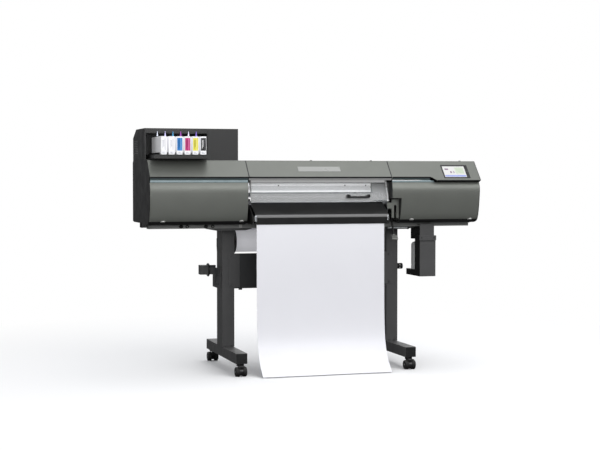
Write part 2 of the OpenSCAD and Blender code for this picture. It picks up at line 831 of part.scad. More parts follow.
// Belt loop above the rail, its pulleys and the two motors
module carriage_drive() {
  y = rail_front_y + rail_d / 2;
  x0 = left_x + 140;
  x1 = right_x - 140;
  z = rail_z + rail_h + 3;
  color(black) difference() {
    union() {
      box([x0, y - 16, z], [x1, y + 16, z + 10]);
      for (x = [x0, x1]) translate([x, y, z]) cylinder(h = 10, r = 16);
    }
    box([x0, y - 14, z - 1], [x1, y + 14, z + 11]);
    for (x = [x0, x1]) translate([x, y, z - 1]) cylinder(h = 12, r = 14);
  }
  for (x = [x0, x1]) color(steel) translate([x, y, rail_z + rail_h]) cylinder(h = 14, r = 13.8);
  color(dark) translate([x0, y, rail_z + rail_h + 14]) cylinder(h = 42, r = 28);
  color(dark) {
    rod_x(left_frame_x - 70, left_frame_x - 20, feed_y - 52, feed_z - 20, 28);
    box([left_frame_x - 70, feed_y - 82, pan_floor_z], [left_frame_x - 20, feed_y - 22, feed_z - 47]);
  }
}

// Capping station under the parked print heads
module cap_station() {
  x0 = carriage_x + 20;
  color(dark) difference() {
    box([x0, carriage_front_y + 10, pan_floor_z + 1], [x0 + 180, -14, platen_z - 8]);
    box([x0 + 4, carriage_front_y + 14, pan_floor_z], [x0 + 176, -18, platen_z - 14]);
  }
  for (i = [0 : 3])
    color(black) box([carriage_x + 32 + i * 40, carriage_front_y + 18, platen_z - 8],
      [carriage_x + 62 + i * 40, -22, platen_z - 2]);
}

// ---------------------------------------------------------------- ink

module ink_cabinet() {
  top = cabinet_z + cabinet_h;
  x1 = left_x + cabinet_w;
  wall = 5;
  color(dark) difference() {
    along_x(left_x, x1) polygon([
      [cabinet_front_y, cabinet_z], [rear_y - 16, cabinet_z], [rear_y - 16, top - 48],
      [rear_y - 116, top - 2], [rear_y - 124, top], [cabinet_front_y, top]
    ]);
    box([bay_left, cabinet_front_y - 1, cabinet_z + 6], [bay_right, bay_back_y, bay_top]);
    box([left_x + wall, bay_back_y + wall, cabinet_z - 1], [x1 - wall, rear_y - 16 - wall, top - 54]);
    box([bay_right + wall, cabinet_front_y + wall, cabinet_z - 1],
        [x1 - wall, bay_back_y + wall + 1, top - wall]);
  }
  color(black) box([bay_left + 20, pouch_front_y + 12, cabinet_z + 8],
    [bay_right - 14, cabinet_front_y, pouch_z - 0.4]);
  color(black) box([bay_left + 20, cabinet_front_y, cabinet_z + 6],
    [bay_right - 14, bay_back_y, pouch_z - 0.4]);
}

pouch_colors = [
  [0.95, 0.95, 0.95], [0.9, 0.9, 0.92], [0.2, 0.5, 0.8], [0.8, 0.15, 0.5], [0.95, 0.85, 0.2], [0.1, 0.1, 0.1]
];

// Slim carrier with chamfered corners; i counts from the left
module ink_pouch(i) {
  x = pouch_first_x + i * pouch_pitch - pouch_w / 2;
  c = 3;
  color(pouch_colors[i]) translate([0, pouch_front_y + pouch_l, 0]) rotate([90, 0, 0])
    linear_extrude(pouch_l) polygon([
      [x + c, pouch_z], [x + pouch_w - c, pouch_z], [x + pouch_w, pouch_z + c],
      [x + pouch_w, pouch_z + pouch_h - c], [x + pouch_w - c, pouch_z + pouch_h],
      [x + c, pouch_z + pouch_h], [x, pouch_z + pouch_h - c], [x, pouch_z + c]
    ]);
}

module ink_pouch_1() {
  ink_pouch(0);
}

module ink_pouch_2() {
  ink_pouch(1);
}

module ink_pouch_3() {
  ink_pouch(2);
}

module ink_pouch_4() {
  ink_pouch(3);
}

module ink_pouch_5() {
  ink_pouch(4);
}

module ink_pouch_6() {
  ink_pouch(5);
}

// ---------------------------------------------------------------- waste ink

// Hanging box in front of the bottle, its tray, and the drain above the bottle
module bottle_holder() {
  x0 = bottle_x - holder_w / 2;
  x1 = bottle_x + holder_w / 2;
  front = -156;
  color(dark) {
    difference() {
      box([x0, front, bottle_z - 36], [x1, bottle_y + 84, bottle_z - 0.3]);
      box([x0 + 2, front + 2, bottle_z - 34], [x1 - 2, bottle_y + 85, bottle_z - 2.3]);
    }
    difference() {
      box([x0, front, bottle_z - 0.3], [x1, front + 81, bottle_z + 207]);
      box([x0 + 2, front + 2, bottle_z - 1], [x1 - 2, front + 82, bottle_z + 205]);
    }
    box([x0 - 3, front - 3, bottle_z + 179], [x1 + 3, front, bottle_z + 207]);
    box([x0, front, bottle_z + 207], [x1 - 10, front + 2, deck_z + 14]);
    box([x0, front, deck_z + 12], [x1 - 10, beam_front_y, deck_z + 14]);
  }
  color(black) difference() {
    along_x(bottle_x - 46, bottle_x + 20) polygon([
      [bottle_y - 22, deck_z], [bottle_y - 22, bottle_z + bottle_h + 30],
      [bottle_y - 8, bottle_z + bottle_h + 18],
      [bottle_y + 22, bottle_z + bottle_h + 18], [bottle_y + 22, deck_z]
    ]);
    translate([bottle_x, bottle_y, 0]) cylinder(h = 2000, r = 8);
  }
}

module waste_bottle() {
  color([0.75, 0.77, 0.77]) translate([bottle_x, bottle_y, bottle_z]) rotate_extrude() polygon([
    [0, 0], [bottle_r - 4, 0], [bottle_r, 4], [bottle_r, bottle_h - 14], [bottle_r - 12, bottle_h],
    [18, bottle_h + 3], [18, bottle_h + 16], [14, bottle_h + 16], [14, bottle_h],
    [bottle_r - 14, bottle_h - 4],
    [bottle_r - 2, bottle_h - 15], [bottle_r - 2, 5], [bottle_r - 5, 2], [0, 2]
  ]);
}

// ---------------------------------------------------------------- roll

hanger_r = 11;
hanger_z = roll_z - 166;
hanger_y = roll_y - 50;

// Arms that carry the roll, and the lower bar that sticks out past the columns
module media_hangers() {
  x_bar0 = left_leg_x - column_w / 2 - 84;
  x_bar1 = right_leg_x + column_w / 2 + 108;
  x_side = left_leg_x - column_w / 2 - 4;
  back = column_front_y + column_d;
  color(black) {
    rod_x(x_bar0, x_bar1, hanger_y, hanger_z, hanger_r);
    rod_x(x_bar1 - 36, x_bar1, hanger_y, hanger_z, hanger_r + 7);
    box([x_bar0 - 4, hanger_y - 28, hanger_z - 27], [x_bar0 + 40, hanger_y + 28, hanger_z + 28]);
    box([x_bar0 + 39, hanger_y - 28, hanger_z - 26], [x_side + 1, hanger_y + 20, hanger_z + 16]);
    box([x_side, column_front_y + 33, hanger_z - 101], [x_side + 4, hanger_y + 20, hanger_z + 16]);
    translate([0, back + 28, 0]) rotate([90, 0, 0]) linear_extrude(4) polygon([
      [x_side + 1, hanger_z - 101], [x_side - 8, hanger_z - 89], [x_side - 16, hanger_z - 16],
      [x_side + 1, hanger_z - 16]
    ]);
  }
  for (x = [left_leg_x, right_leg_x])
    color(dark) difference() {
      along_x(x - 4, x + 4) polygon([
        [back, hanger_z - 86], [back, hanger_z + 60], [roll_y - 20, roll_z + 16], [roll_y + 20, roll_z + 16],
        [roll_y + 20, roll_z - 30], [hanger_y + 30, hanger_z - 30]
      ]);
      rod_x(x - 5, x + 5, roll_y, roll_z, spindle_r + run_fit);
      rod_x(x - 5, x + 5, hanger_y, hanger_z, hanger_r + run_fit);
    }
}

spindle_r = 10;

module media_roll() {
  color(paper) difference() {
    rod_x(roll_left, roll_right, roll_y, roll_z, roll_r);
    rod_x(roll_left - 1, roll_right + 1, roll_y, roll_z, core_r);
  }
}

// Spindle with a flange in each end of the core
module roll_flanges() {
  color(black) {
    rod_x(left_leg_x - 6, right_leg_x + 6, roll_y, roll_z, spindle_r);
    for (side = [-1, 1]) {
      x = media_x + side * media_w / 2;
      rod_x(min(x, x + side * 12), max(x, x + side * 12), roll_y, roll_z, flange_r);
      rod_x(min(x, x - side * 30), max(x, x - side * 30), roll_y, roll_z, core_r);
    }
  }
}

// Web from the back of the roll, over the bed and down the front; its free end curls forward
module media_sheet() {
  back_y = roll_y + roll_r + 0.3;
  bend = 14;
  hang = -279.5;
  web = concat(
    [[back_y, roll_z]],
    arc([back_y - bend, media_bottom_z - bend], bend, 0, 90, 6),
    [[platen_front_y, media_bottom_z], [platen_front_y - 20, media_bottom_z - 3]],
    [[-270.5, deck_z + 72], [hang, deck_z + 50]],
    curve([
      [hang, deck_z + 20], [hang - 2, 520], [hang - 8, 310], [hang - 18, 200], [hang - 38, 130],
      [hang - 60, 86], [hang - 88, 50], [hang - curl_reach, 5]
    ], 4)
  );
  color(paper) along_x(roll_left, roll_right) polygon(strip(web, -media_t));
}

// ---------------------------------------------------------------- power

inlet_x = right_x - 120;
inlet_z = deck_z + 90;
inlet_w = 62;
inlet_h = 32;

module power_inlet() {
  y0 = rear_y - 26;
  switch_x = inlet_x - 17;
  socket_x = inlet_x + 13;
  color(black) difference() {
    union() {
      box([inlet_x - inlet_w / 2, y0, inlet_z - inlet_h / 2],
          [inlet_x + inlet_w / 2, rear_y, inlet_z + inlet_h / 2]);
      box([inlet_x - inlet_w / 2 - 4, rear_y, inlet_z - inlet_h / 2 - 4],
          [inlet_x + inlet_w / 2 + 4, rear_y + 2, inlet_z + inlet_h / 2 + 4]);
    }
    box([socket_x - 12.5, y0 + 6, inlet_z - 8.5], [socket_x + 12.5, rear_y + 3, inlet_z + 8.5]);
    box([switch_x - 7, y0 + 6, inlet_z - 11.5], [switch_x + 7, rear_y + 3, inlet_z + 11.5]);
  }
  for (dx = [-7, 0, 7])
    color(steel) box([socket_x + dx - 1, y0 + 5, inlet_z - 3], [socket_x + dx + 1, rear_y - 4, inlet_z + 3]);
}

module power_switch() {
  switch_x = inlet_x - 17;
  color(dark) along_x(switch_x - 6.5, switch_x + 6.5) polygon([
    [rear_y - 10, inlet_z - 8], [rear_y + 1, inlet_z - 9.5], [rear_y + 2.4, inlet_z],
    [rear_y + 5, inlet_z + 8.5], [rear_y - 10, inlet_z + 8]
  ]);
}

left_foot();
right_foot();
left_column();
right_column();
column_top_plates();
stretcher();
stand_bolts();
front_left_caster();
front_right_caster();
rear_left_caster();
rear_right_caster();
front_left_wheels();
front_right_wheels();
rear_left_wheels();
rear_right_wheels();
front_left_brake();
front_right_brake();
base_beam();
chassis();
left_end_panel();
right_end_panel();
rear_cover();
top_cover();
left_hood();
right_hood();
center_hood();
left_front_cover();
right_front_cover();
cover_end_walls();
control_panel();
touch_screen();
clear_window();
window_handle();
uv_shield();
platen();
feed_roller();
pinch_rollers();
loading_lever();
lever_bracket();
guide_rail();
print_carriage();
cutting_carriage();
blade_holder();
carriage_drive();
cap_station();
ink_cabinet();
ink_pouch_1();
ink_pouch_2();
ink_pouch_3();
ink_pouch_4();
ink_pouch_5();
ink_pouch_6();
bottle_holder();
waste_bottle();
media_hangers();
media_roll();
roll_flanges();
media_sheet();
power_inlet();
power_switch();
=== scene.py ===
"""Wide-format printer cutter on a castered stand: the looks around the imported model.

Each operator builds or finishes one group of pieces, and main() runs them in order.
Shapes are given in millimetres in the model's own frame and are scaled to metres at the end."""

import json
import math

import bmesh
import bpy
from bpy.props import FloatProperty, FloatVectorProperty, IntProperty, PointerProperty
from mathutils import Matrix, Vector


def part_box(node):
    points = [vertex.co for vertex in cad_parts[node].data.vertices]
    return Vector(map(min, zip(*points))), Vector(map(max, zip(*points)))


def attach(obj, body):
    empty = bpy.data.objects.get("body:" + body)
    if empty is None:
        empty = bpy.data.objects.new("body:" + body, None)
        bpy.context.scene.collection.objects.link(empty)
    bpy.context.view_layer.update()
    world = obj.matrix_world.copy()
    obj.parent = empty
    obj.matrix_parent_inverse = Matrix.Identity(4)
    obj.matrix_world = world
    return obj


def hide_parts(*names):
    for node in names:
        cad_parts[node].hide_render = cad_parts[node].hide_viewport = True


bl_info = {
    "name": "Printer Cutter",
    "version": (1, 0, 0),
    "blender": (4, 5, 0),
    "location": "View3D > Sidebar > Printer Cutter",
    "description": "Builds the detailed pieces and finishes of a wide-format printer cutter",
    "category": "Object",
}

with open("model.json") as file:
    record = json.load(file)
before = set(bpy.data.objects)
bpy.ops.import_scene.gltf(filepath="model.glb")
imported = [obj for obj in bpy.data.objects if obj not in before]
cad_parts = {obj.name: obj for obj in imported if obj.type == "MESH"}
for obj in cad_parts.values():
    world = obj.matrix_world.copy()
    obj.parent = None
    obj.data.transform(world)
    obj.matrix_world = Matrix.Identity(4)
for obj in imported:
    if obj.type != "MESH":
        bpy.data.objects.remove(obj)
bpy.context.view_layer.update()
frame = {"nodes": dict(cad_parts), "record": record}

NODES = frame["nodes"]
BODY_OF = {
    node: body
    for body, nodes in frame["record"]["behaviour"]["bodies"].items()
    for node in nodes
}
MM = 0.001
FINISH = {}

ROUND_FROM = 0.6            # radians: a built solid's edge sharper than this is eased
NODE_ROUND_FROM = 0.5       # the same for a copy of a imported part
MERGE_GAP = 2e-6            # metres between points that are one point
FLAT_WITHIN = math.radians(0.4)


# ------------------------------------------------------------------ settings


def display_colour(name, default, description):
    """A colour property that a user picks as it looks on a screen."""
    return FloatVectorProperty(
        name=name, description=description, default=default,
        size=3, min=0.0, max=1.0, subtype="COLOR_GAMMA",
    )


class CutterColours(bpy.types.PropertyGroup):
    """Colours of the painted, moulded and printed surfaces."""

    hood: display_colour("Hood", (0.425, 0.435, 0.415), "Painted slanted hood")
    cover: display_colour("Covers", (0.44, 0.45, 0.43), "Curved end covers")
    cabinet: display_colour("Cabinet", (0.145, 0.145, 0.145), "Ink cabinet shell")
    stand: display_colour("Stand", (0.28, 0.28, 0.282), "Powder-coated legs")
    beam: display_colour("Beam", (0.5, 0.505, 0.5), "Beams under the body")
    moulded: display_colour("Moulded black", (0.085, 0.088, 0.09), "Black mouldings")
    accent: display_colour("Accent", (0.44, 0.495, 0.505), "Strip under the hood lip")
    media: display_colour("Media", (0.93, 0.93, 0.95), "Printable web")
    cyan: display_colour("Cyan", (0.12, 0.49, 0.80), "Third carton's label")
    magenta: display_colour("Magenta", (0.78, 0.13, 0.47), "Fourth carton's label")
    yellow: display_colour("Yellow", (0.94, 0.9, 0.3), "Fifth carton's label")


class CutterSizes(bpy.types.PropertyGroup):
    """Sizes of edges, fixings and small details."""

    sheet_ease: FloatProperty(
        name="Sheet edge", description="Rounding of folded sheet edges",
        default=0.0007, min=0.0001, max=0.003, unit="LENGTH",
    )
    casting_ease: FloatProperty(
        name="Heavy edge", description="Rounding of thick mouldings and tubes",
        default=0.002, min=0.0002, max=0.006, unit="LENGTH",
    )
    tread_grooves: IntProperty(
        name="Tread grooves", description="Grooves around each caster wheel",
        default=2, min=0, max=4,
    )
    carton_bars: IntProperty(
        name="Carton bars", description="Plain bars on each carton's label",
        default=3, min=0, max=6,
    )
    scale_marks: IntProperty(
        name="Scale marks", description="Marks on the window's media scale",
        default=34, min=4, max=60,
    )


class CutterStage(bpy.types.PropertyGroup):
    """Camera, floor and lights."""

    eye: FloatVectorProperty(
        name="Camera", description="Where the camera stands",
        default=(-2.3674, -7.6212, 1.1219), subtype="TRANSLATION", unit="LENGTH",
    )
    turn: FloatProperty(
        name="Turn", description="Camera's turn to the right",
        default=0.2947, unit="ROTATION",
    )
    tilt: FloatProperty(
        name="Tilt", description="Camera's tilt downwards",
        default=0.0362, unit="ROTATION",
    )
    lens: FloatProperty(
        name="Lens", description="Focal length on a 36 mm sensor",
        default=81.316, min=20.0, max=200.0,
    )
    floor: FloatProperty(
        name="Floor", description="Side of the square floor",
        default=80.0, min=10.0, unit="LENGTH",
    )
    key: FloatProperty(
        name="Key light", description="Power of the large light in front",
        default=195.0, min=0.0, unit="POWER",
    )
    sky: FloatProperty(
        name="Sky", description="Strength of the soft light all round",
        default=0.56, min=0.0, max=4.0,
    )


def settings():
    """The three groups of settings on the scene."""
    scene = bpy.context.scene
    return scene.cutter_colours, scene.cutter_sizes, scene.cutter_stage


def linear(colour):
    """A display colour, or one number for a grey, as the linear colour that shaders use."""
    if isinstance(colour, float):
        colour = (colour,) * 3
    return tuple(
        c / 12.92 if c <= 0.04045 else ((c + 0.055) / 1.055) ** 2.4 for c in colour
    )


# ------------------------------------------------------------------ shapes


class Shape:
    """Solids of one piece in millimetres, gathered in one bmesh."""

    def __init__(self, tint=0):
        self.mesh = bmesh.new()
        self.tint = tint
        self.place = Matrix()

    def _settle(self, verts, ease, steps):
        """Puts new solids in place, gives them the current finish and eases their edges."""
        verts = [v for v in verts if v.is_valid]
        bmesh.ops.transform(self.mesh, matrix=self.place, verts=verts)
        faces = list(dict.fromkeys(f for v in verts for f in v.link_faces))
        for face in faces:
            face.material_index = self.tint
        bmesh.ops.recalc_face_normals(self.mesh, faces=faces)
        if ease:
            sharp = list(dict.fromkeys(
                e for f in faces for e in f.edges
                if len(e.link_faces) == 2 and e.calc_face_angle(0.0) > ROUND_FROM
            ))
            bmesh.ops.bevel(
                self.mesh, geom=sharp, offset=ease, offset_type="OFFSET",
                segments=steps, profile=0.5, affect="EDGES", clamp_overlap=True,
                loop_slide=True, material=-1,
            )

    def block(self, low, high, ease=0.6, steps=2):
        """A box between two corners."""
        low, high = Vector(low), Vector(high)
        place = Matrix.Translation((low + high) / 2) @ Matrix.Diagonal((*(high - low), 1))
        made = bmesh.ops.create_cube(self.mesh, size=1.0, matrix=place)
        self._settle(made["verts"], ease, steps)

    def rod(self, start, end, radius, end_radius=None, ease=0.4, sides=32, steps=2):
        """A round bar or cone from one point to another."""
        start, end = Vector(start), Vector(end)
        turn = (end - start).to_track_quat("Z", "Y").to_matrix().to_4x4()
        made = bmesh.ops.create_cone(
            self.mesh, cap_ends=True, cap_tris=False, segments=sides,
            radius1=radius, radius2=radius if end_radius is None else end_radius,
            depth=(end - start).length,
            matrix=Matrix.Translation((start + end) / 2) @ turn,
        )
        self._settle(made["verts"], ease, steps)

    def turned(self, outline, base, axis, sides=48):
        """A solid of revolution from (radius, height) points, from pole to pole."""
        turn = Vector(axis).to_track_quat("Z", "Y").to_matrix().to_4x4()
        place = Matrix.Translation(Vector(base)) @ turn
        before = set(self.mesh.verts)
        verts = [self.mesh.verts.new(place @ Vector((r, 0, h))) for r, h in outline]
        edges = [self.mesh.edges.new(pair) for pair in zip(verts, verts[1:])]
        bmesh.ops.spin(
            self.mesh, geom=verts + edges, cent=Vector(base),
            axis=turn.to_3x3() @ Vector((0, 0, 1)), angle=math.tau, steps=sides, use_merge=True,
        )
        new = [v for v in self.mesh.verts if v not in before]
        bmesh.ops.remove_doubles(self.mesh, verts=new, dist=0.001)
        self._settle([v for v in self.mesh.verts if v not in before], 0, 1)

    def prism(self, outline, start, end, ease=0.6, steps=2, along="X"):
        """A flat outline pushed along X (outline in Y, Z), Y (X, Z) or Z (X, Y)."""
        spot = {
            "X": lambda u, v, w: (w, u, v),
            "Y": lambda u, v, w: (u, w, v),
            "Z": lambda u, v, w: (u, v, w),
        }[along]
        verts = [self.mesh.verts.new(spot(u, v, start)) for u, v in outline]
        face = self.mesh.faces.new(verts)
        made = bmesh.ops.extrude_face_region(self.mesh, geom=[face])
        top = [v for v in made["geom"] if isinstance(v, bmesh.types.BMVert)]
        bmesh.ops.translate(self.mesh, verts=top, vec=Vector(spot(0, 0, end - start)))
        self._settle(verts + top, ease, steps)

    def done(self, name, finishes, body, replaces=(), sharp=32.0):
        """Makes the object, gives it its finishes and lets it ride on its body."""
        bmesh.ops.scale(self.mesh, vec=(MM, MM, MM), verts=self.mesh.verts)
        return make_piece(self.mesh, name, finishes, body, replaces, sharp)


def make_piece(mesh, name, finishes, body, replaces=(), sharp=32.0):
    """Turns a finished bmesh in metres into a piece that rides on a body."""
    data = bpy.data.meshes.new(name)
    mesh.to_mesh(data)
    mesh.free()
    for finish in [finishes] if isinstance(finishes, str) else finishes:
        data.materials.append(FINISH[finish])
    data.shade_smooth()
    data.set_sharp_from_angle(angle=math.radians(sharp))
    piece = bpy.data.objects.new(name, data)
    bpy.context.scene.collection.objects.link(piece)
    even = piece.modifiers.new("Even shading", "WEIGHTED_NORMAL")
    even.keep_sharp = True
    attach(piece, body)
    if replaces:
        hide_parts(*replaces)
    return piece


def merged(node):
    """A merged copy of a CAD node's mesh, with flat faces whole."""
    mesh = bmesh.new()
    mesh.from_mesh(NODES[node].data)
    bmesh.ops.remove_doubles(mesh, verts=mesh.verts, dist=MERGE_GAP)
    bmesh.ops.dissolve_limit(
        mesh, angle_limit=FLAT_WITHIN, use_dissolve_boundaries=False,
        verts=mesh.verts, edges=mesh.edges,
    )
    return mesh


def eased(node, name, finishes, width, steps=2, zones=(), sharp=32.0):
    """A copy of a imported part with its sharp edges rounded.

    A face whose middle is in a zone, (low, high, index) in mm, gets that finish."""
    mesh = merged(node)
    for face in mesh.faces:
        spot = face.calc_center_median() / MM
        face.material_index = 0
        for low, high, index in zones:
            if all(a <= s <= b for a, s, b in zip(low, spot, high)):
                face.material_index = index
    edges = [
        e for e in mesh.edges
        if len(e.link_faces) == 2 and e.calc_face_angle(0.0) > NODE_ROUND_FROM
        and e.calc_length() > 3 * width
    ]
    if width:
        bmesh.ops.bevel(
            mesh, geom=edges, offset=width, offset_type="OFFSET", segments=steps,
            profile=0.5, affect="EDGES", clamp_overlap=True, loop_slide=True, material=-1,
        )
    return make_piece(mesh, name, finishes, BODY_OF[node], [node], sharp)


def thick(path, depth):
    """A closed outline around an open path, depth to its left."""
    left = []
    for i, point in enumerate(path):
        a, b = path[max(i - 1, 0)], path[min(i + 1, len(path) - 1)]
        run, rise = b[0] - a[0], b[1] - a[1]
        long = math.hypot(run, rise)
        left.append((point[0] - rise / long * depth, point[1] + run / long * depth))
    return list(path) + left[::-1]


def sloped_face():
    """The hood's sloped face: X to the right, Y up the slope, Z out of it."""
    return Matrix.Translation((0, -149.0, 1208.0)) @ Matrix.Rotation(math.radians(47.9), 4, "X")


def corners(node):
    """Lowest and highest corner of a CAD node in millimetres."""
    low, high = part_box(node)
    return low / MM, high / MM


def islands(node):
    """(low, high) corners in mm of each separate solid of a node, from left to right."""
    mesh = merged(node)
    left, found = set(mesh.verts), []
    while left:
        seen, queue = set(), [next(iter(left))]
        while queue:
            vert = queue.pop()
            if vert not in seen:
                seen.add(vert)
                queue += [e.other_vert(vert) for e in vert.link_edges]
        left -= seen
        spots = [v.co / MM for v in seen]
        found.append([
            Vector(pick(p[i] for p in spots) for i in range(3)) for pick in (min, max)
        ])
    mesh.free()
    return sorted(found, key=lambda pair: tuple(round(c, 2) for c in pair[0]))


# ------------------------------------------------------------------ shader groups


def new_group(name, inputs, outputs):
    """A shader group: numbers or vectors go in by name, numbers come out."""
    tree = bpy.data.node_groups.new(name, "ShaderNodeTree")
    for socket, default in inputs.items():
        kind = "NodeSocketVector" if isinstance(default, tuple) else "NodeSocketFloat"
        made = tree.interface.new_socket(socket, in_out="INPUT", socket_type=kind)
        made.default_value = default
    for socket in outputs:
        tree.interface.new_socket(socket, in_out="OUTPUT", socket_type="NodeSocketFloat")
    inputs = tree.nodes.new("NodeGroupInput").outputs
    return tree, inputs, tree.nodes.new("NodeGroupOutput").inputs


def put(tree, kind, links=(), **values):
    """Adds a node; values are its settings, links are (input, socket or constant)."""
    node = tree.nodes.new(kind)
    for key, value in values.items():
        setattr(node, key, value)
    for key, value in links:
        if isinstance(value, bpy.types.NodeSocket):
            tree.links.new(value, node.inputs[key])
        else:
            node.inputs[key].default_value = value
    return node


def ramp(tree, value, low, high, out_low=0.0, out_high=1.0):
    """Maps a value from one range to another and clamps it."""
    node = put(tree, "ShaderNodeMapRange", [
        ("Value", value), ("From Min", low), ("From Max", high),
        ("To Min", out_low), ("To Max", out_high),
    ])
    return node.outputs["Result"]


def calc(tree, operation, a, b):
    """One step of arithmetic."""
    return put(tree, "ShaderNodeMath", [(0, a), (1, b)], operation=operation).outputs[0]


def blend(tree, factor, a, b):
    """Mixes two colours."""
    node = put(tree, "ShaderNodeMix", [(0, factor), (6, a), (7, b)], data_type="RGBA")
    return node.outputs[2]


def spots(tree):
    """Object coordinates."""
    return put(tree, "ShaderNodeTexCoord").outputs["Object"]


def noise(tree, vector, scale, detail=2.0, rough=0.5):
    """Plain noise at a scale."""
    node = put(tree, "ShaderNodeTexNoise", [
        ("Vector", vector), ("Scale", scale), ("Detail", detail), ("Roughness", rough),
    ])
    return node.outputs["Fac"]


def build_groups():
    """The effects that more than one finish shares."""
    tree, inp, out = new_group(
        "Worn Edges", {"Width": 0.002, "Patches": 40.0, "Amount": 0.5}, ["Mask"]
    )
    round_edge = put(tree, "ShaderNodeBevel", [("Radius", inp["Width"])], samples=4)
    flat = put(tree, "ShaderNodeNewGeometry").outputs["Normal"]
    dot = put(tree, "ShaderNodeVectorMath", [(0, round_edge.outputs[0]), (1, flat)],
              operation="DOT_PRODUCT").outputs["Value"]
    edge = ramp(tree, calc(tree, "SUBTRACT", 1.0, dot), 0.01, 0.12)
    patch = ramp(tree, noise(tree, spots(tree), inp["Patches"], 4.0, 0.65), 0.42, 0.62)
    mask = calc(tree, "MULTIPLY", calc(tree, "MULTIPLY", edge, patch), inp["Amount"])
    tree.links.new(mask, out["Mask"])

    tree, inp, out = new_group("Fine Grain", {"Scale": 900.0, "Cloud": 6.0}, ["Tone", "Height"])
    where = spots(tree)
    fine = noise(tree, where, inp["Scale"], 3.0, 0.6)
    cloud = noise(tree, where, inp["Cloud"], 3.0, 0.5)
    tone = calc(tree, "ADD", calc(tree, "MULTIPLY", fine, 0.5), calc(tree, "MULTIPLY", cloud, 0.5))
    tree.links.new(ramp(tree, tone, 0.35, 0.65), out["Tone"])
    tree.links.new(fine, out["Height"])

    tree, inp, out = new_group(
        "Drawn Lines", {"Stretch": (3.0, 1400.0, 1400.0)}, ["Tone", "Height"]
    )
    drawn = put(tree, "ShaderNodeVectorMath", [(0, spots(tree)), (1, inp["Stretch"])],
                operation="MULTIPLY").outputs["Vector"]
    line = noise(tree, drawn, 1.0, 2.0, 0.7)
    tree.links.new(ramp(tree, line, 0.3, 0.7), out["Tone"])
    tree.links.new(line, out["Height"])

    tree, inp, out = new_group(
        "Handling Haze", {"Scale": 14.0, "Low": 0.3, "High": 0.5}, ["Roughness"]
    )
    smear = noise(tree, spots(tree), inp["Scale"], 5.0, 0.6)
    rough = ramp(tree, smear, 0.36, 0.66, inp["Low"], inp["High"])
    tree.links.new(rough, out["Roughness"])

    tree, inp, out = new_group("Settled Dust", {"Scale": 25.0, "Amount": 0.2}, ["Mask"])
    normal = put(tree, "ShaderNodeNewGeometry").outputs["Normal"]
    up = put(tree, "ShaderNodeSeparateXYZ", [(0, normal)]).outputs["Z"]
    lies = ramp(tree, up, 0.45, 0.95)
    speck = ramp(tree, noise(tree, spots(tree), inp["Scale"], 6.0, 0.7), 0.4, 0.7)
    mask = calc(tree, "MULTIPLY", calc(tree, "MULTIPLY", lies, speck), inp["Amount"])
    tree.links.new(mask, out["Mask"])


def use_group(tree, name, **values):
    """Places a shared group in a material."""
    node = tree.nodes.new("ShaderNodeGroup")
    node.node_tree = bpy.data.node_groups[name]
    for key, value in values.items():
        node.inputs[key].default_value = value
    return node.outputs


def solid_finish(name, colour, rough, metal=0.0, spread=0.08, tone=0.05, grain=900.0,
                 depth=4e-5, cloud=6.0, worn=None, wear=0.35, width=0.0015, lines=None,
                 coat=0.0, coat_rough=0.08, dust=0.0, glow=0.0):
    """A painted, moulded or metal surface with grain, haze, worn edges and dust."""
    material = bpy.data.materials.new(name.replace("_", " ").capitalize())
    material.use_nodes = True
    FINISH[name] = material
    tree = material.node_tree
    shader = next(n for n in tree.nodes if n.type == "BSDF_PRINCIPLED")
    base = linear(colour)
    grainy = (
        use_group(tree, "Drawn Lines", Stretch=lines) if lines
        else use_group(tree, "Fine Grain", Scale=grain, Cloud=cloud)
    )
    dark = (*(c * (1 - tone) for c in base), 1.0)
    light = (*(min(c * (1 + tone), 1.0) for c in base), 1.0)
    shade = blend(tree, grainy["Tone"], dark, light)
    if worn:
        mask = use_group(tree, "Worn Edges", Width=width, Amount=wear)["Mask"]
        shade = blend(tree, mask, shade, (*linear(worn), 1.0))
    if dust:
        mask = use_group(tree, "Settled Dust", Amount=dust)["Mask"]
        shade = blend(tree, mask, shade, (*linear(DUST_COLOUR), 1.0))
    tree.links.new(shade, shader.inputs["Base Color"])
    haze = use_group(tree, "Handling Haze", Low=max(rough - spread, 0.02), High=rough + spread)
    tree.links.new(haze["Roughness"], shader.inputs["Roughness"])
    bump = put(tree, "ShaderNodeBump", [
        ("Height", grainy["Height"]), ("Strength", 0.6), ("Distance", depth),
    ])
    tree.links.new(bump.outputs["Normal"], shader.inputs["Normal"])
    shader.inputs["Metallic"].default_value = metal
    shader.inputs["Coat Weight"].default_value = coat
    shader.inputs["Coat Roughness"].default_value = coat_rough
    # Glow: on lamps and the screen it is their own light; on other finishes it is painted light
    # that makes a surface in shade look lit.
    if glow:
        tree.links.new(shade, shader.inputs["Emission Color"])
        shader.inputs["Emission Strength"].default_value = glow
    return tree, shader


def clear_finish(name, colour, alpha, edge_alpha, rough):
    """A thin clear plastic: see-through face on, more mirror-like at a glance."""
    tree, shader = solid_finish(name, colour, rough, spread=0.03, tone=0.03, depth=0.00001)
    glance = put(tree, "ShaderNodeLayerWeight", [("Blend", 0.35)]).outputs["Facing"]
    tree.links.new(ramp(tree, glance, 0.0, 1.0, alpha, edge_alpha), shader.inputs["Alpha"])


DUST_COLOUR = (0.68, 0.67, 0.65)
PAINT = dict(spread=0.04, depth=6e-6, tone=0.03, worn=(0.74, 0.74, 0.73), wear=0.2)
COARSE = dict(tone=0.1, depth=1e-4)
PRINT = dict(tone=0.015, spread=0.03, depth=3e-6)
LAMP = dict(tone=0.12, grain=160, glow=0.1)

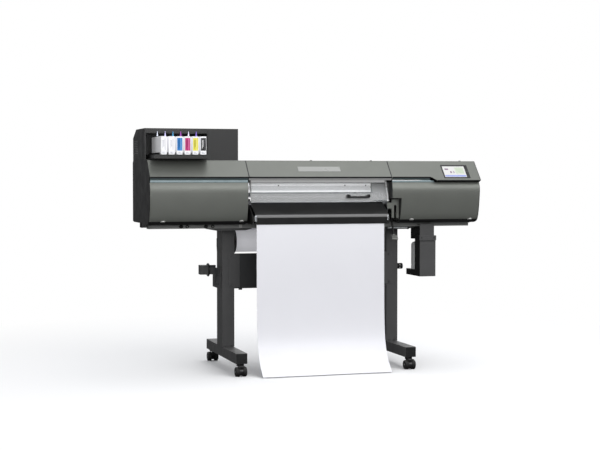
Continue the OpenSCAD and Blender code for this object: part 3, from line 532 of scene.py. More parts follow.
# Name, colour (a word is one of the settings), roughness, and what differs from the defaults.
FINISH_ROWS = (
    ("hood_paint", "hood", 0.42, dict(PAINT, metal=0.3)),
    ("cover_paint", "cover", 0.44, dict(PAINT, metal=0.4)),
    ("cabinet_black", "cabinet", 0.42, dict(spread=0.04, depth=3e-5, worn=(0.36, 0.36, 0.37),
                                            wear=0.25)),
    ("deep_black", (0.02, 0.02, 0.022), 0.75, dict(tone=0.1, depth=2e-5)),
    # Black of the end panels, darkened further as painted shade on these sides; it also paints the
    # cabinet's shaded left side.
    ("end_black", (0.04, 0.04, 0.042), 0.6, dict(COARSE, grain=650, worn=0.3, wear=0.25)),
    ("satin_black", (0.12, 0.12, 0.125), 0.5, dict(COARSE, grain=650, worn=0.34, wear=0.25,
                                                   dust=0.1)),
    ("stand_powder", "stand", 0.46, dict(COARSE, grain=800, worn=0.5, dust=0.14)),
    ("plate_powder", (0.34, 0.345, 0.345), 0.44, dict(tone=0.08, depth=6e-5, worn=0.55)),
    ("panel_powder", (0.16, 0.165, 0.17), 0.5, dict(COARSE, grain=800, worn=0.42, wear=0.3,
                                                    dust=0.1)),
    ("beam_paint", "beam", 0.38, dict(worn=(0.75, 0.75, 0.74))),
    ("moulded_black", "moulded", 0.4, dict(tone=0.14, depth=1e-4, grain=1100, worn=0.3,
                                           wear=0.25)),
    ("gloss_black", (0.045, 0.045, 0.048), 0.22, dict(tone=0.1, depth=3e-5, coat=0.5,
                                                      coat_rough=0.1)),
    ("rubber", (0.07, 0.07, 0.072), 0.72, dict(tone=0.2, depth=1.5e-4, grain=500, worn=0.2,
                                               wear=0.4, dust=0.3)),
    ("wheel_grey", (0.24, 0.24, 0.245), 0.45, dict(tone=0.1, worn=0.5, wear=0.5, dust=0.15)),
    ("caster_black", (0.1, 0.1, 0.105), 0.36, dict(tone=0.12, worn=0.32, wear=0.3, dust=0.12)),
    ("steel", (0.66, 0.67, 0.68), 0.32, dict(metal=1.0, tone=0.08, depth=2e-5,
                                             lines=(4.0, 900.0, 900.0))),
    ("zinc", (0.72, 0.73, 0.74), 0.28, dict(metal=1.0, tone=0.12, grain=260, cloud=60,
                                            depth=3e-5)),
    ("bright_screw", (0.72, 0.72, 0.71), 0.35, dict(metal=0.3, tone=0.06, grain=300)),
    ("dark_zinc", (0.36, 0.36, 0.365), 0.4, dict(metal=0.8, tone=0.1, grain=300)),
    ("aluminium", (0.86, 0.865, 0.88), 0.3, dict(metal=1.0, tone=0.06, depth=2e-5,
                                                 lines=(2.0, 1500.0, 1500.0))),
    # Painted light: the rail glows so that it looks lit behind the window; its lighter bands are
    # painted highlights that glow too.
    ("bright_rail", (0.82, 0.82, 0.825), 0.4, dict(metal=0.1, tone=0.02, depth=4e-6, glow=0.42,
                                                   lines=(0.8, 160.0, 160.0))),
    ("rail_highlight", 0.93, 0.4, dict(tone=0.02, depth=4e-6, glow=0.75)),
    ("smoked_acrylic", (0.075, 0.075, 0.076), 0.34, dict(depth=3e-6, spread=0.04, coat=0.1)),
    # Painted highlight: the lighter band along the shield's rounded lower edge.
    ("shield_highlight_band", 0.42, 0.5, dict(depth=5e-6, spread=0.04)),
    # Painted light: the band under the hood lip glows so that it looks lit in the lip's shade; its
    # lighter line is a painted highlight and glows too.
    ("accent_strip", "accent", 0.3, dict(tone=0.06, grain=600, coat=0.3, glow=0.25)),
    ("accent_highlight_line", (0.60, 0.665, 0.685), 0.25, dict(tone=0.04, grain=600, coat=0.3, glow=0.3)),
    ("lip_shade", (0.3, 0.345, 0.35), 0.5, dict(tone=0.1, grain=700)),
    # Painted shadow under the hood lips; also the dark gap lines at the lifting hood's ends.
    ("lip_shadow_and_gap_black", (0.07, 0.075, 0.085), 0.5, dict(tone=0.12, grain=700)),
    # Plain grey marks; along the beam's lower edge it is a painted highlight.
    ("plain_mark", (0.58, 0.585, 0.575), 0.34, dict(tone=0.03, grain=700)),
    # White print; on the window's right edge and the tip of the band under the lip it is a painted
    # highlight.
    ("white_print_and_highlight", 0.93, 0.45, dict(tone=0.03, grain=700)),
    ("grey_print", 0.62, 0.5, PRINT),
    # Painted light: glows so that the window's top band, in the hood lip's shade, looks lit.
    ("print_with_painted_light", 0.6, 0.5, dict(PRINT, glow=1.05)),
    ("scale_print", 0.68, 0.5, PRINT),
    ("lever_paint", (0.4, 0.405, 0.39), 0.45, dict(worn=0.6, wear=0.2)),
    # Painted light: the white of the labels glows so that it looks lit in the shade of the carton
    # bay.
    ("label_white", (0.95, 0.95, 0.955), 0.4, dict(tone=0.03, grain=500, glow=0.2)),
    ("label_shade", (0.74, 0.75, 0.79), 0.4, dict(tone=0.03, grain=500)),
    ("label_black", (0.04, 0.04, 0.045), 0.5, dict(tone=0.06, grain=500)),
    # Painted highlight strip on the black label.
    ("label_black_pale", (0.26, 0.26, 0.28), 0.5, dict(tone=0.06, grain=500)),
    # Painted light: the carton board glows for the same shade.
    ("carton_board", (0.93, 0.93, 0.94), 0.55, dict(tone=0.04, grain=420, cloud=12, depth=3e-5,
                                                    worn=(0.8, 0.78, 0.74), wear=0.4,
                                                    width=0.0012, glow=0.16)),
    ("media_film", "media", 0.42, dict(tone=0.018, grain=1500, cloud=2.2, depth=1e-5, coat=0.15,
                                       coat_rough=0.25)),
    # Painted light: the wound roll glows so that it looks lit in the deep shade under the body.
    ("roll_film", "media", 0.4, dict(tone=0.03, lines=(1.2, 160.0, 160.0), depth=2e-5,
                                     glow=0.34)),
    ("screen_face", (0.74, 0.74, 0.735), 0.2, dict(tone=0.03, grain=30, glow=0.2, coat=0.4)),
    ("screen_bar", (0.52, 0.56, 0.78), 0.24, dict(grain=60, glow=0.15)),
    ("screen_tile", (0.5, 0.42, 0.5), 0.24, dict(grain=60, glow=0.1)),
    ("screen_green", (0.68, 0.72, 0.65), 0.3, dict(tone=0.06, grain=90, glow=0.15)),
    ("lamp_white", (0.9, 0.92, 1.0), 0.3, LAMP),
    ("lamp_lilac", (0.82, 0.8, 1.0), 0.3, LAMP),
    ("lamp_teal", (0.3, 0.62, 0.8), 0.3, LAMP),
    ("lamp_purple", (0.7, 0.3, 0.75), 0.3, LAMP),
    ("lamp_ice", (0.9, 0.88, 1.0), 0.3, LAMP),
    ("lamp_violet", (0.55, 0.45, 0.85), 0.3, LAMP),
    ("work_light", (0.98, 0.99, 1.0), 0.5, dict(tone=0.02, grain=90, glow=9.0)),
)


class CUTTER_OT_finishes(bpy.types.Operator):
    """Make the shared shader groups and every finish"""

    bl_idname = "cutter.finishes"
    bl_label = "Finishes"

    def execute(self, context):
        colours = settings()[0]
        build_groups()
        for name, colour, rough, rest in FINISH_ROWS:
            if isinstance(colour, str):
                colour = getattr(colours, colour)
            solid_finish(name, colour, rough, **rest)
        for name in ("cyan", "magenta", "yellow"):
            colour = getattr(colours, name)
            # The paler shade is for the label's painted highlight strip.
            pale = tuple(c + (1 - c) * 0.45 for c in colour)
            deep = tuple(c * 0.62 for c in colour)
            for suffix, shade in (("", colour), ("_pale", pale), ("_deep", deep)):
                solid_finish("label_" + name + suffix, shade, 0.36, tone=0.04, grain=500)
        clear_finish("window_clear", (0.80, 0.82, 0.83), 0.14, 0.75, 0.07)
        clear_finish("bottle_milky", (0.86, 0.865, 0.865), 0.88, 0.97, 0.4)
        clear_finish("waste_ink", (0.23, 0.22, 0.27), 0.85, 0.95, 0.3)
        return {"FINISHED"}


# ------------------------------------------------------------------ stage


def soft_light(name, place, size, power, aim):
    """A large rectangular light that points at a place."""
    lamp = bpy.data.lights.new(name, "AREA")
    lamp.shape = "RECTANGLE"
    lamp.size, lamp.size_y = size
    lamp.energy = power
    light = bpy.data.objects.new(name, lamp)
    light.location = place
    light.rotation_euler = (Vector(aim) - Vector(place)).to_track_quat("-Z", "Y").to_euler()
    bpy.context.scene.collection.objects.link(light)


# Name, place, width and height, share of the key light's power, aim.
LIGHTS = (
    ("Key", (1.6, -5.0, 3.8), (5.5, 3.6), 0.92, (0.0, 0.0, 0.9)),
    ("Fill", (-1.9, -4.4, 1.3), (2.2, 1.8), 0.22, (-0.7, 0.0, 0.75)),
    ("Overhead", (0.9, 0.2, 4.6), (6.0, 3.0), 0.4, (0.0, 0.2, 0.0)),
    ("Behind", (1.5, 5.5, 3.6), (4.5, 3.0), 0.3, (0.0, 0.0, 0.9)),
)
WHITE_FROM, WHITE_BY = 1.3, 3.2     # metres from the middle where the floor fades to white


def shader_mix(tree, factor, first, second):
    """One shader turning into another."""
    return put(tree, "ShaderNodeMixShader", [
        (0, factor), (1, first.outputs[0]), (2, second.outputs[0]),
    ])


class CUTTER_OT_stage(bpy.types.Operator):
    """Set the camera, the pale floor and the soft lights"""

    bl_idname = "cutter.stage"
    bl_label = "Camera, floor and lights"

    def execute(self, context):
        stage = settings()[2]
        scene = context.scene
        lens = bpy.data.cameras.new("Camera")
        lens.lens, lens.sensor_width = stage.lens, 36.0
        lens.clip_start, lens.clip_end = 0.1, 200.0
        camera = bpy.data.objects.new("Camera", lens)
        camera.location = stage.eye
        camera.rotation_euler = (math.pi / 2 - stage.tilt, 0.0, -stage.turn)
        scene.collection.objects.link(camera)
        scene.camera = camera
        scene.view_settings.view_transform = "Standard"

        mesh = bmesh.new()
        bmesh.ops.create_grid(mesh, x_segments=1, y_segments=1, size=stage.floor / 2)
        data = bpy.data.meshes.new("Floor")
        mesh.to_mesh(data)
        mesh.free()
        floor = bpy.data.objects.new("Floor", data)
        scene.collection.objects.link(floor)
        paint = bpy.data.materials.new("Pale floor")
        paint.use_nodes = True
        tree = paint.node_tree
        tree.nodes.clear()
        seen = put(tree, "ShaderNodeLightPath").outputs["Is Camera Ray"]
        near = put(tree, "ShaderNodeBsdfDiffuse", [("Color", (0.9, 0.9, 0.905, 1))])
        far = put(tree, "ShaderNodeEmission", [("Color", (1, 1, 1, 1)), ("Strength", 1.0)])
        gone = put(tree, "ShaderNodeVectorMath", [(0, spots(tree))], operation="LENGTH")
        fade = ramp(tree, gone.outputs["Value"], WHITE_FROM, WHITE_BY)
        pale = shader_mix(tree, fade, near, far)
        dull = put(tree, "ShaderNodeBsdfDiffuse", [("Color", (0.11, 0.11, 0.11, 1))])
        mix = shader_mix(tree, seen, dull, pale)
        put(tree, "ShaderNodeOutputMaterial", [("Surface", mix.outputs[0])])
        data.materials.append(paint)

        world = bpy.data.worlds.new("Soft white")
        world.use_nodes = True
        scene.world = world
        tree = world.node_tree
        tree.nodes.clear()
        seen = put(tree, "ShaderNodeLightPath").outputs["Is Camera Ray"]
        way = put(tree, "ShaderNodeTexCoord").outputs["Generated"]
        rise = put(tree, "ShaderNodeSeparateXYZ", [(0, way)]).outputs["Z"]
        shade = blend(tree, ramp(tree, rise, 0.0, 0.6), (0.6, 0.6, 0.61, 1), (1.25, 1.27, 1.3, 1))
        lit = put(tree, "ShaderNodeBackground", [("Color", shade), ("Strength", stage.sky)])
        plain = put(tree, "ShaderNodeBackground", [("Color", (1, 1, 1, 1)), ("Strength", 1.0)])
        mix = shader_mix(tree, seen, lit, plain)
        put(tree, "ShaderNodeOutputWorld", [("Surface", mix.outputs[0])])

        for name, place, size, share, aim in LIGHTS:
            soft_light(name, place, size, stage.key * share, aim)
        return {"FINISHED"}


# ------------------------------------------------------------------ stand


BEAM_ROD = (-92, 814.5)     # Y and Z of the rod under the beams
COLUMN_MIDDLE = 44          # Y of the middle of both columns
STAND_MIDDLE = 13.5         # X of the middle of the stand
BRACKET_WIDTH = 66.5        # the part of the stretcher that is its end bracket


def bolt_head(shape, centre, axis, radius, height):
    """A domed socket-head bolt on a washer."""
    shape.turned([
        (0, 0), (radius * 1.5, 0), (radius * 1.55, 0.4), (radius * 1.5, 1.0), (radius, 1.0),
        (radius, height * 0.7), (radius * 0.86, height), (radius * 0.5, height),
        (radius * 0.45, height * 0.55), (0, height * 0.55),
    ], centre, axis, 24)


class CUTTER_OT_stand(bpy.types.Operator):
    """Finish the feet, columns, plates, stretcher and bolts"""

    bl_idname = "cutter.stand"
    bl_label = "Stand"

    def execute(self, context):
        sizes = settings()[1]
        heavy = sizes.casting_ease
        for side in ("left", "right"):
            eased(f"{side}_foot", f"{side}_foot_tube", "stand_powder", heavy)
            eased(f"{side}_column", f"{side}_column_tube", "stand_powder", heavy, 3)
            low, high = corners(f"{side}_foot")
            caps = Shape()
            for y, out in ((low.y, -1), (high.y, 1)):
                caps.block((low.x + 2, min(y, y + out * 1.2), low.z + 2),
                           (high.x - 2, max(y, y + out * 1.2), high.z - 2), 0.5)
                for x in (low.x + 16, high.x - 16):
                    caps.rod((x, y, low.z + 30), (x, y + out * 2, low.z + 30), 4)
            caps.done(f"{side}_foot_caps", "moulded_black", "machine")
        eased("column_top_plates", "column_plates", "plate_powder", sizes.sheet_ease * 2)
        rod = Shape()
        rod.rod((462, *BEAM_ROD), (586, *BEAM_ROD), 7.6, None, 0.8)
        rod.tint = 1
        rod.rod((584, *BEAM_ROD), (593, *BEAM_ROD), 9.2, None, 1.2)
        rod.done("under_beam_rod", ["steel", "deep_black"], "machine")
        low, high = corners("stretcher")
        brackets = [
            ((start, low.y - 5, low.z), (end, low.y + 3.5, high.z + 5), 1)
            for start, end in ((low.x - 5, low.x + BRACKET_WIDTH),
                               (high.x - BRACKET_WIDTH, high.x + 5))
        ]
        eased("stretcher", "stretcher_channel", ["panel_powder", "stand_powder"], sizes.sheet_ease,
              zones=brackets)
        heads = Shape()
        for start, end in islands("stand_bolts"):
            spot = (start + end) / 2
            thin = min(range(3), key=lambda i: (end - start)[i])
            axis = Vector((0, 0, 0))
            middle = COLUMN_MIDDLE if thin == 1 else STAND_MIDDLE
            axis[thin] = -1 if spot[thin] < middle else 1
            spot[thin] = end[thin] if axis[thin] < 0 else start[thin]
            bolt_head(heads, spot, axis, 4.8, max(end[thin] - start[thin], 3) + 0.6)
        heads.done("stand_bolt_heads", "dark_zinc", "machine", ["stand_bolts"])
        return {"FINISHED"}


WHEEL_WIDTH = 22.0


class CUTTER_OT_casters(bpy.types.Operator):
    """Build the twin-wheel casters and their brake pedals"""

    bl_idname = "cutter.casters"
    bl_label = "Casters"

    def execute(self, context):
        sizes = settings()[1]
        for corner in ("front_left", "front_right", "rear_left", "rear_right"):
            eased(f"{corner}_caster", f"{corner}_fork", "caster_black", 0.0008,
                  sharp=40)
            low, high = corners(f"{corner}_wheels")
            centre = (low + high) / 2
            r, w = (high.z - low.z) / 2, WHEEL_WIDTH
            wheels = Shape()
            for side in (-1, 1):
                start = centre + Vector((side * 10, 0, 0))
                axis = (side, 0, 0)
                grooves = []
                for i in range(sizes.tread_grooves):
                    at = 5.0 + i * 6.0
                    grooves += [(r, at), (r - 0.8, at + 0.5), (r - 0.8, at + 1.3), (r, at + 1.8)]
                wheels.tint = 0
                wheels.turned([
                    (0, 0), (r - 1.6, 0), (r - 0.4, 0.5), (r, 1.6), *grooves, (r, w - 4.4),
                    (r - 0.7, w - 2.6), (r - 2.6, w - 0.6), (r - 4.4, w - 0.1), (r - 6.6, w - 0.4),
                    (0, w - 0.6),
                ], start, axis)
                wheels.tint = 1
                wheels.turned([
                    (0, w - 0.8), (r - 7.0, w - 0.8), (r - 7.2, w - 0.1), (r - 8.4, w - 0.3),
                    (r - 9.6, w - 2.2), (9.4, w - 2.4), (8.2, w - 0.8), (6.6, w), (0, w),
                ], start, axis)
                wheels.tint = 2
                wheels.turned([(0, w - 0.4), (3.4, w - 0.4), (3.2, w + 0.5), (2.2, w + 0.9),
                               (0, w + 1.0)], start, axis, 24)
            wheels.rod((low.x + 20, centre.y, centre.z), (high.x - 20, centre.y, centre.z), 3.8)
            wheels.done(f"{corner}_tyres", ["rubber", "wheel_grey", "zinc"],
                        BODY_OF[f"{corner}_wheels"], [f"{corner}_wheels"], 28)
        for side in ("left", "right"):
            node = f"front_{side}_brake"
            eased(node, f"{node}_pedal", "wheel_grey", 0.0007)
            low, high = corners(node)
            grip = Shape()
            for i in range(4):
                y = low.y + 3 + i * 3
                grip.block((low.x + 3, y, high.z - 0.1), (high.x - 3, y + 1.2, high.z + 0.5),
                           0.2, 1)
            grip.done(f"{node}_ribs", "rubber", BODY_OF[node])
        return {"FINISHED"}


# ------------------------------------------------------------------ body


# Painted shade: below this the covers' undersides are painted deep black, as they lie in shade.
COVER_BOTTOM = 868.5                # the covers' folded undersides lie below this
# Painted shadow: a dark band under the hood's lip, where the recess below the lip lies in shade.
LIP_SHADOW_BAND = [
    (-233.6, 1117.6), (-232.6, 1116.2), (-228.4, 1108.4), (-229.8, 1107.8), (-234.6, 1115.6),
]
LIP_RETURN = [(-230.0, 1108.2), (-228.4, 1108.4), (-224.6, 1100.2), (-226.0, 1099.6)]
# The same painted shadow band where the lip steps out over the touch panel.
PANEL_LIP = [
    (-250.6, 1098.6), (-249.4, 1097.2), (-243.0, 1092.0), (-244.2, 1091.0), (-251.6, 1096.8),
]
PANEL_START, PANEL_END = 676.0, 716.0   # X where the lip steps out to the touch panel's
BEAM_FRONT = -106
BEAM_KNOBS = (-790, -646)
BEAM_RINGS = (-753, -605)
COVER_SCREWS = (-911, -459, 570, 941)
ROOF_NUBS = (-24, 344, 908)


class CUTTER_OT_body(bpy.types.Operator):
    """Finish the beams, pan, end panels, hoods, covers and back"""

    bl_idname = "cutter.body"
    bl_label = "Body panels"

    def execute(self, context):
        sizes = settings()[1]
        sheet = sizes.sheet_ease
        eased("base_beam", "beam_tubes", "beam_paint", 0.0015)
        low, high = corners("chassis")
        pan_top = corners("base_beam")[1].z + 15
        eased("chassis", "pan_and_frames", ["steel", "deep_black"], sheet,
              zones=[((low.x, low.y, low.z - 1), (high.x, high.y, pan_top), 1)])
        for side in ("left", "right"):
            eased(f"{side}_end_panel", f"{side}_end_plate", "end_black", sheet * 1.6,
                  sharp=20)
            eased(f"{side}_hood", f"{side}_hood_sheet", "hood_paint", sheet)
            low, high = corners(f"{side}_front_cover")
            # The cover's underside zone is painted deep black: painted shade.
            eased(f"{side}_front_cover", f"{side}_cover_shell", ["cover_paint", "deep_black"],
                  sheet, sharp=24,
                  zones=[(low - Vector((1, 1, 1)), (high.x, high.y, COVER_BOTTOM), 1)])
        eased("cover_end_walls", "cover_walls", "satin_black", sheet, sharp=24)
        eased("top_cover", "roof_sheet", "hood_paint", sheet)
        eased("rear_cover", "rear_sheet", "satin_black", sheet)

        lip = corners("left_hood")
        cover = corners("left_front_cover")
        right = corners("right_front_cover")
        # The band under the hood lip, its lighter line and a white tip at the right: the line and
        # the tip are painted highlights, and the band and line glow as painted light.
        accents = Shape()
        for x0, x1, slope in ((cover[0].x + 2, cover[1].x - 1, 0), (right[0].x + 1, 672.0, 36.0)):
            for tint, low_z, high_z, front in (
                (0, 1084.5, 1099.4, -221.4), (1, 1091.0, 1095.4, -222.2),
            ):
                accents.tint = tint
                accents.prism([(x0, low_z), (x0, high_z), (x1, high_z), (x1 + slope, low_z)],
                              front, -217.5, 0.25, 1, along="Y")
        # A painted highlight: the white sliver where the band tapers at the right.
        accents.tint = 2
        accents.prism([(440.5, 1094.5), (440.5, 1099.0), (640.0, 1099.0), (600.0, 1094.5)],
                      -222.6, -218.0, 0.25, 1, along="Y")
        accents.done("accent_strips", ["accent_strip", "accent_highlight_line", "white_print_and_highlight"], "machine")

        # Painted shadow under the hood lips: dark bands, and the lip return in its painted shade.
        lips = Shape()
        for x0, x1 in ((lip[0].x + 1, lip[1].x - 1), (right[0].x + 1, PANEL_START)):
            lips.prism(LIP_SHADOW_BAND, x0, x1, 0.3, 1)
        lips.prism(PANEL_LIP, PANEL_END, right[1].x - 1, 0.3, 1)
        lips.tint = 1
        for x0, x1 in ((lip[0].x + 1, lip[1].x - 1), (right[0].x + 1, PANEL_START - 2)):
            lips.prism(LIP_RETURN, x0, x1, 0.2, 1)
        lips.done("hood_lip_shadow_bands", ["lip_shadow_and_gap_black", "lip_shade"], "machine")

        screws = Shape()
        for x in COVER_SCREWS:
            screws.turned([(0, 0), (13, 0), (14, 1), (14, 4.4), (12.6, 6), (0, 6.4)],
                          (x, -196, 868.5), (0, -0.3, -0.95), 32)
        screws.done("thumb_screws", "bright_screw", "machine")

        flanges = Shape()
        path = [(-221, 1084), (-229.5, 1062), (-234.4, 1035), (-232.0, 990), (-222.6, 938),
                (-212.0, 900), (-200.0, 868)]
        flanges.prism(thick(path, -1.4), cover[0].x - 0.2, cover[0].x + 9, 0.4)
        flanges.done("left_cover_flange", "hood_paint", "machine")

        nubs = Shape()
        for x in ROOF_NUBS:
            nubs.block((x - 5, -126, 1209.8), (x + 5, -114, 1213.0), 1.0)
        nubs.done("roof_nubs", "moulded_black", "machine")

        knobs = Shape()
        for x in BEAM_KNOBS:
            knobs.turned([(0, 0), (9, 0), (10, 2), (10, 15), (8.6, 17.4), (0, 18)],
                         (x, BEAM_FRONT, 835.5), (0, -1, 0), 32)
        for x in BEAM_RINGS:
            knobs.turned([(5.0, 0), (9.4, 0), (9.8, 1), (9.0, 5.4), (5.8, 5.4), (5.0, 0)],
                         (x, BEAM_FRONT, 835), (0, -1, 0), 32)
        knobs.tint = 1
        knobs.block((-452, BEAM_FRONT - 6, 825.5), (-434, BEAM_FRONT, 844), 1.0)
        knobs.done("beam_fixings", ["deep_black", "bright_screw"], "machine")

        # Painted highlight: a light line along the beam's lower edge.
        edge = Shape()
        edge.block((-970, BEAM_FRONT - 1.2, 823.4), (970, BEAM_FRONT, 826.8), 0.4, 1)
        edge.done("beam_edge_highlight", "plain_mark", "machine")

        wall = Shape()
        wall.prism([(-160, 1086), (-221, 1085), (-229, 1062), (-232.2, 1036), (-230.4, 994),
                    (-180, 990), (-166, 1040)], 440.0, 442.4, 0.3)
        wall.done("right_cover_inner_wall", "satin_black", "machine")
        return {"FINISHED"}


# Left, right, bottom and top of each plate on the back, in mm.
ACCESS_PLATES = ((-940, -480, 880, 1030), (500, 800, 1020, 1180), (-300, 300, 1050, 1180))


class CUTTER_OT_back(bpy.types.Operator):
    """Add the louvres, access plates, screws and power inlet at the back"""

    bl_idname = "cutter.back"
    bl_label = "Back"

    def execute(self, context):
        back = corners("rear_cover")[1].y
        louvres = Shape()
        for centre in (-640.0, 640.0):
            for i in range(9):
                z = 1060 + i * 10
                louvres.prism([(back - 0.4, z), (back + 3.4, z - 2.6), (back + 4.0, z - 0.8),
                               (back - 0.4, z + 3.0)], centre - 90, centre + 90, 0.4, 1)
        louvres.done("rear_louvres", "satin_black", "machine")
        plates = Shape()
        for x0, x1, z0, z1 in ACCESS_PLATES:
            plates.block((x0, back - 0.2, z0), (x1, back + 1.6, z1), 0.8)
        plates.done("rear_access_plates", "satin_black", "machine")
        screws = Shape()
        for x in (-960, -480, 0, 480, 960):
            for z in (866, 1190):
                bolt_head(screws, (x, back, z), (0, 1, 0), 3.4, 2.6)
        for x0, x1, z0, z1 in ACCESS_PLATES:
            for z in (z1 - 10, z0 + 10):
                for x in (x0 + 10, x1 - 10):
                    bolt_head(screws, (x, back + 1.6, z), (0, 1, 0), 2.8, 2.2)
        screws.done("rear_screws", "zinc", "machine")
        eased("power_inlet", "inlet_body", ["moulded_black", "zinc"], 0.0004,
              zones=[((873, 270, 908), (896, 297, 918), 1)])
        eased("power_switch", "rocker", "moulded_black", 0.0005)
        return {"FINISHED"}


class CUTTER_OT_control_panel(bpy.types.Operator):
    """Build the bezel, the touch screen and its plain tiles"""

    bl_idname = "cutter.control_panel"
    bl_label = "Control panel"

    def execute(self, context):
        low, high = corners("control_panel")
        screen_x = (low.x + high.x) / 2
        eased("control_panel", "screen_bezel", "moulded_black", 0.0012, 3)
        glass = Shape()
        glass.place = sloped_face()
        glass.block((screen_x - 77.5, -127.5, 0.6), (screen_x + 61.5, -43.0, 3.6), 0.5, 2)
        glass.done("screen_glass", "screen_face", "machine", ["touch_screen"])
        tiles = Shape()
        tiles.place = sloped_face()
        for tint, x0, x1, y0, y1 in (
            (0, -74.5, 58.5, -124.5, -112.0), (1, -36.0, -26.0, -97.0, -81.0),
            (1, -16.0, -10.0, -97.0, -81.0), (2, -2.0, 52.0, -100.0, -52.0),
            (1, -66.0, -44.0, -72.0, -60.0),
        ):
            tiles.tint = tint
            tiles.block((screen_x + x0, y0, 3.5), (screen_x + x1, y1, 3.8), 0.12, 1)
        tiles.done("screen_tiles", ["screen_bar", "screen_tile", "screen_green"], "machine")
        rim = Shape()
        rim.place = sloped_face()
        rim.block((screen_x - 78, -36.5, 2.9), (screen_x + 78, -35.0, 3.5), 0.2, 1)
        rim.turned([(0, 0), (4.2, 0), (4.0, 0.8), (2.4, 1.2), (0, 1.2)],
                   (screen_x + 72, -86, 3.0), (0, 0, 1), 24)
        rim.done("bezel_details", "wheel_grey", "machine")
        return {"FINISHED"}


# ------------------------------------------------------------------ front cover


WINDOW_FACE = [(-147.4, 1097.0), (-155.4, 1057.0), (-178.4, 1012.0), (-186.8, 974.0)]
PRINT_LEFT, BLANK_LEFT = -393.0, 336.0      # X where the window's print and its blank end start
SCALE_START, SCALE_LENGTH = -390, 555
HOOD_LEFT, HOOD_RIGHT = -423, 433


def window_skin(low_z, high_z, depth, proud=0.0):
    """The outline of a skin on the window's outer face between two heights."""
    points = []
    for (ya, za), (yb, zb) in zip(WINDOW_FACE, WINDOW_FACE[1:]):
        for step in range(7):
            z = za + (zb - za) * step / 6
            if low_z <= z <= high_z:
                points.append((ya + (yb - ya) * step / 6 - proud, z))
    return thick(points, -depth)


class CUTTER_OT_front_cover(bpy.types.Operator):
    """Build the lifting hood, its window, handle, scale and trims"""

    bl_idname = "cutter.front_cover"
    bl_label = "Front cover"

    def execute(self, context):
        sizes = settings()[1]
        eased("center_hood", "lifting_hood", "hood_paint", sizes.sheet_ease)
        eased("clear_window", "window_pane", "window_clear", 0.0, sharp=40)
        low, high = corners("window_handle")
        grip = Shape()
        for x, out in ((low.x, 1), (high.x, -1)):
            grip.prism([(x, low.z + 4), (x + out * 3, low.z + 0.5), (x + out * 15, low.z + 0.5),
                        (x + out * 24, low.z + 6), (x + out * 24, low.z + 13),
                        (x + out * 17, high.z - 3), (x + out * 12, high.z), (x + out * 3, high.z),
                        (x, high.z - 4)], low.y + 1, high.y, 2.0, 3, along="Y")
        grip.block((low.x + 16, low.y, low.z + 0.5), (high.x - 16, low.y + 12, low.z + 11), 3.6, 4)
        grip.done("handle_bar", "gloss_black", "front_cover", ["window_handle"])

        mark = Shape()
        mark.place = sloped_face()
        mark.block((-124, -82, 0.0), (130, -45, 0.7), 0.3, 2)
        mark.done("plain_bar", "plain_mark", "front_cover")

        # Under the lifting hood's lip a dark band of painted shadow; at its two ends dark gap
        # lines.
        lip = Shape()
        lip.prism(LIP_SHADOW_BAND, HOOD_LEFT, HOOD_RIGHT, 0.3, 1)
        lip.tint = 1
        lip.prism([*LIP_RETURN[:2], (-223.4, 1097.6), (-224.8, 1097.0)], HOOD_LEFT, HOOD_RIGHT,
                  0.2, 1)
        lip.tint = 0
        for x0, x1 in ((HOOD_LEFT - 3.0, HOOD_LEFT + 2.5), (HOOD_RIGHT - 2.5, HOOD_RIGHT + 3.0)):
            lip.prism([(-149.4, 1208.5), (-232.3, 1116.6), (-230.7, 1115.0), (-147.8, 1207.0)],
                      x0, x1, 0.2, 1)
        lip.done("hood_lip_trim", ["lip_shadow_and_gap_black", "grey_print"], "front_cover")

        strips = Shape()
        strips.prism(window_skin(974, 1097, 2.2), -402.0, PRINT_LEFT, 0.5)
        # A painted highlight: the white strip down the window's right edge.
        strips.tint = 1
        strips.prism(window_skin(974, 1097, 2.2), 422.0, 430.0, 0.5)
        strips.done("window_side_strips", ["grey_print", "white_print_and_highlight"], "front_cover")
        blank = Shape()
        blank.prism(window_skin(976, 1082.5, 1.0), BLANK_LEFT, 420.0, 0.3)
        blank.done("window_blank", "grey_print", "front_cover")
        base = Shape()
        base.prism(window_skin(974, 1025, 1.0), PRINT_LEFT, BLANK_LEFT, 0.3)
        # The top band lies in the hood lip's shade; its finish glows as painted light.
        base.tint = 1
        base.prism(window_skin(1083, 1097, 1.0), PRINT_LEFT, 421.0, 0.3)
        base.done("window_printed_bands", ["grey_print", "print_with_painted_light"], "front_cover")
        marks = Shape()
        count = sizes.scale_marks
        for i in range(count):
            x = SCALE_START + i * SCALE_LENGTH / count
            marks.prism(window_skin(996, 1010, 0.5, 1.0), x, x + SCALE_LENGTH / count * 0.66,
                        0.1, 1)
        marks.done("window_scale", "scale_print", "front_cover")
        dots = Shape()
        for x in (-230, 172, 300):
            bolt_head(dots, (x, -154.6, 1066), (0, -0.97, 0.2), 2.6, 2.4)
        dots.done("window_screws", "satin_black", "front_cover")
        return {"FINISHED"}


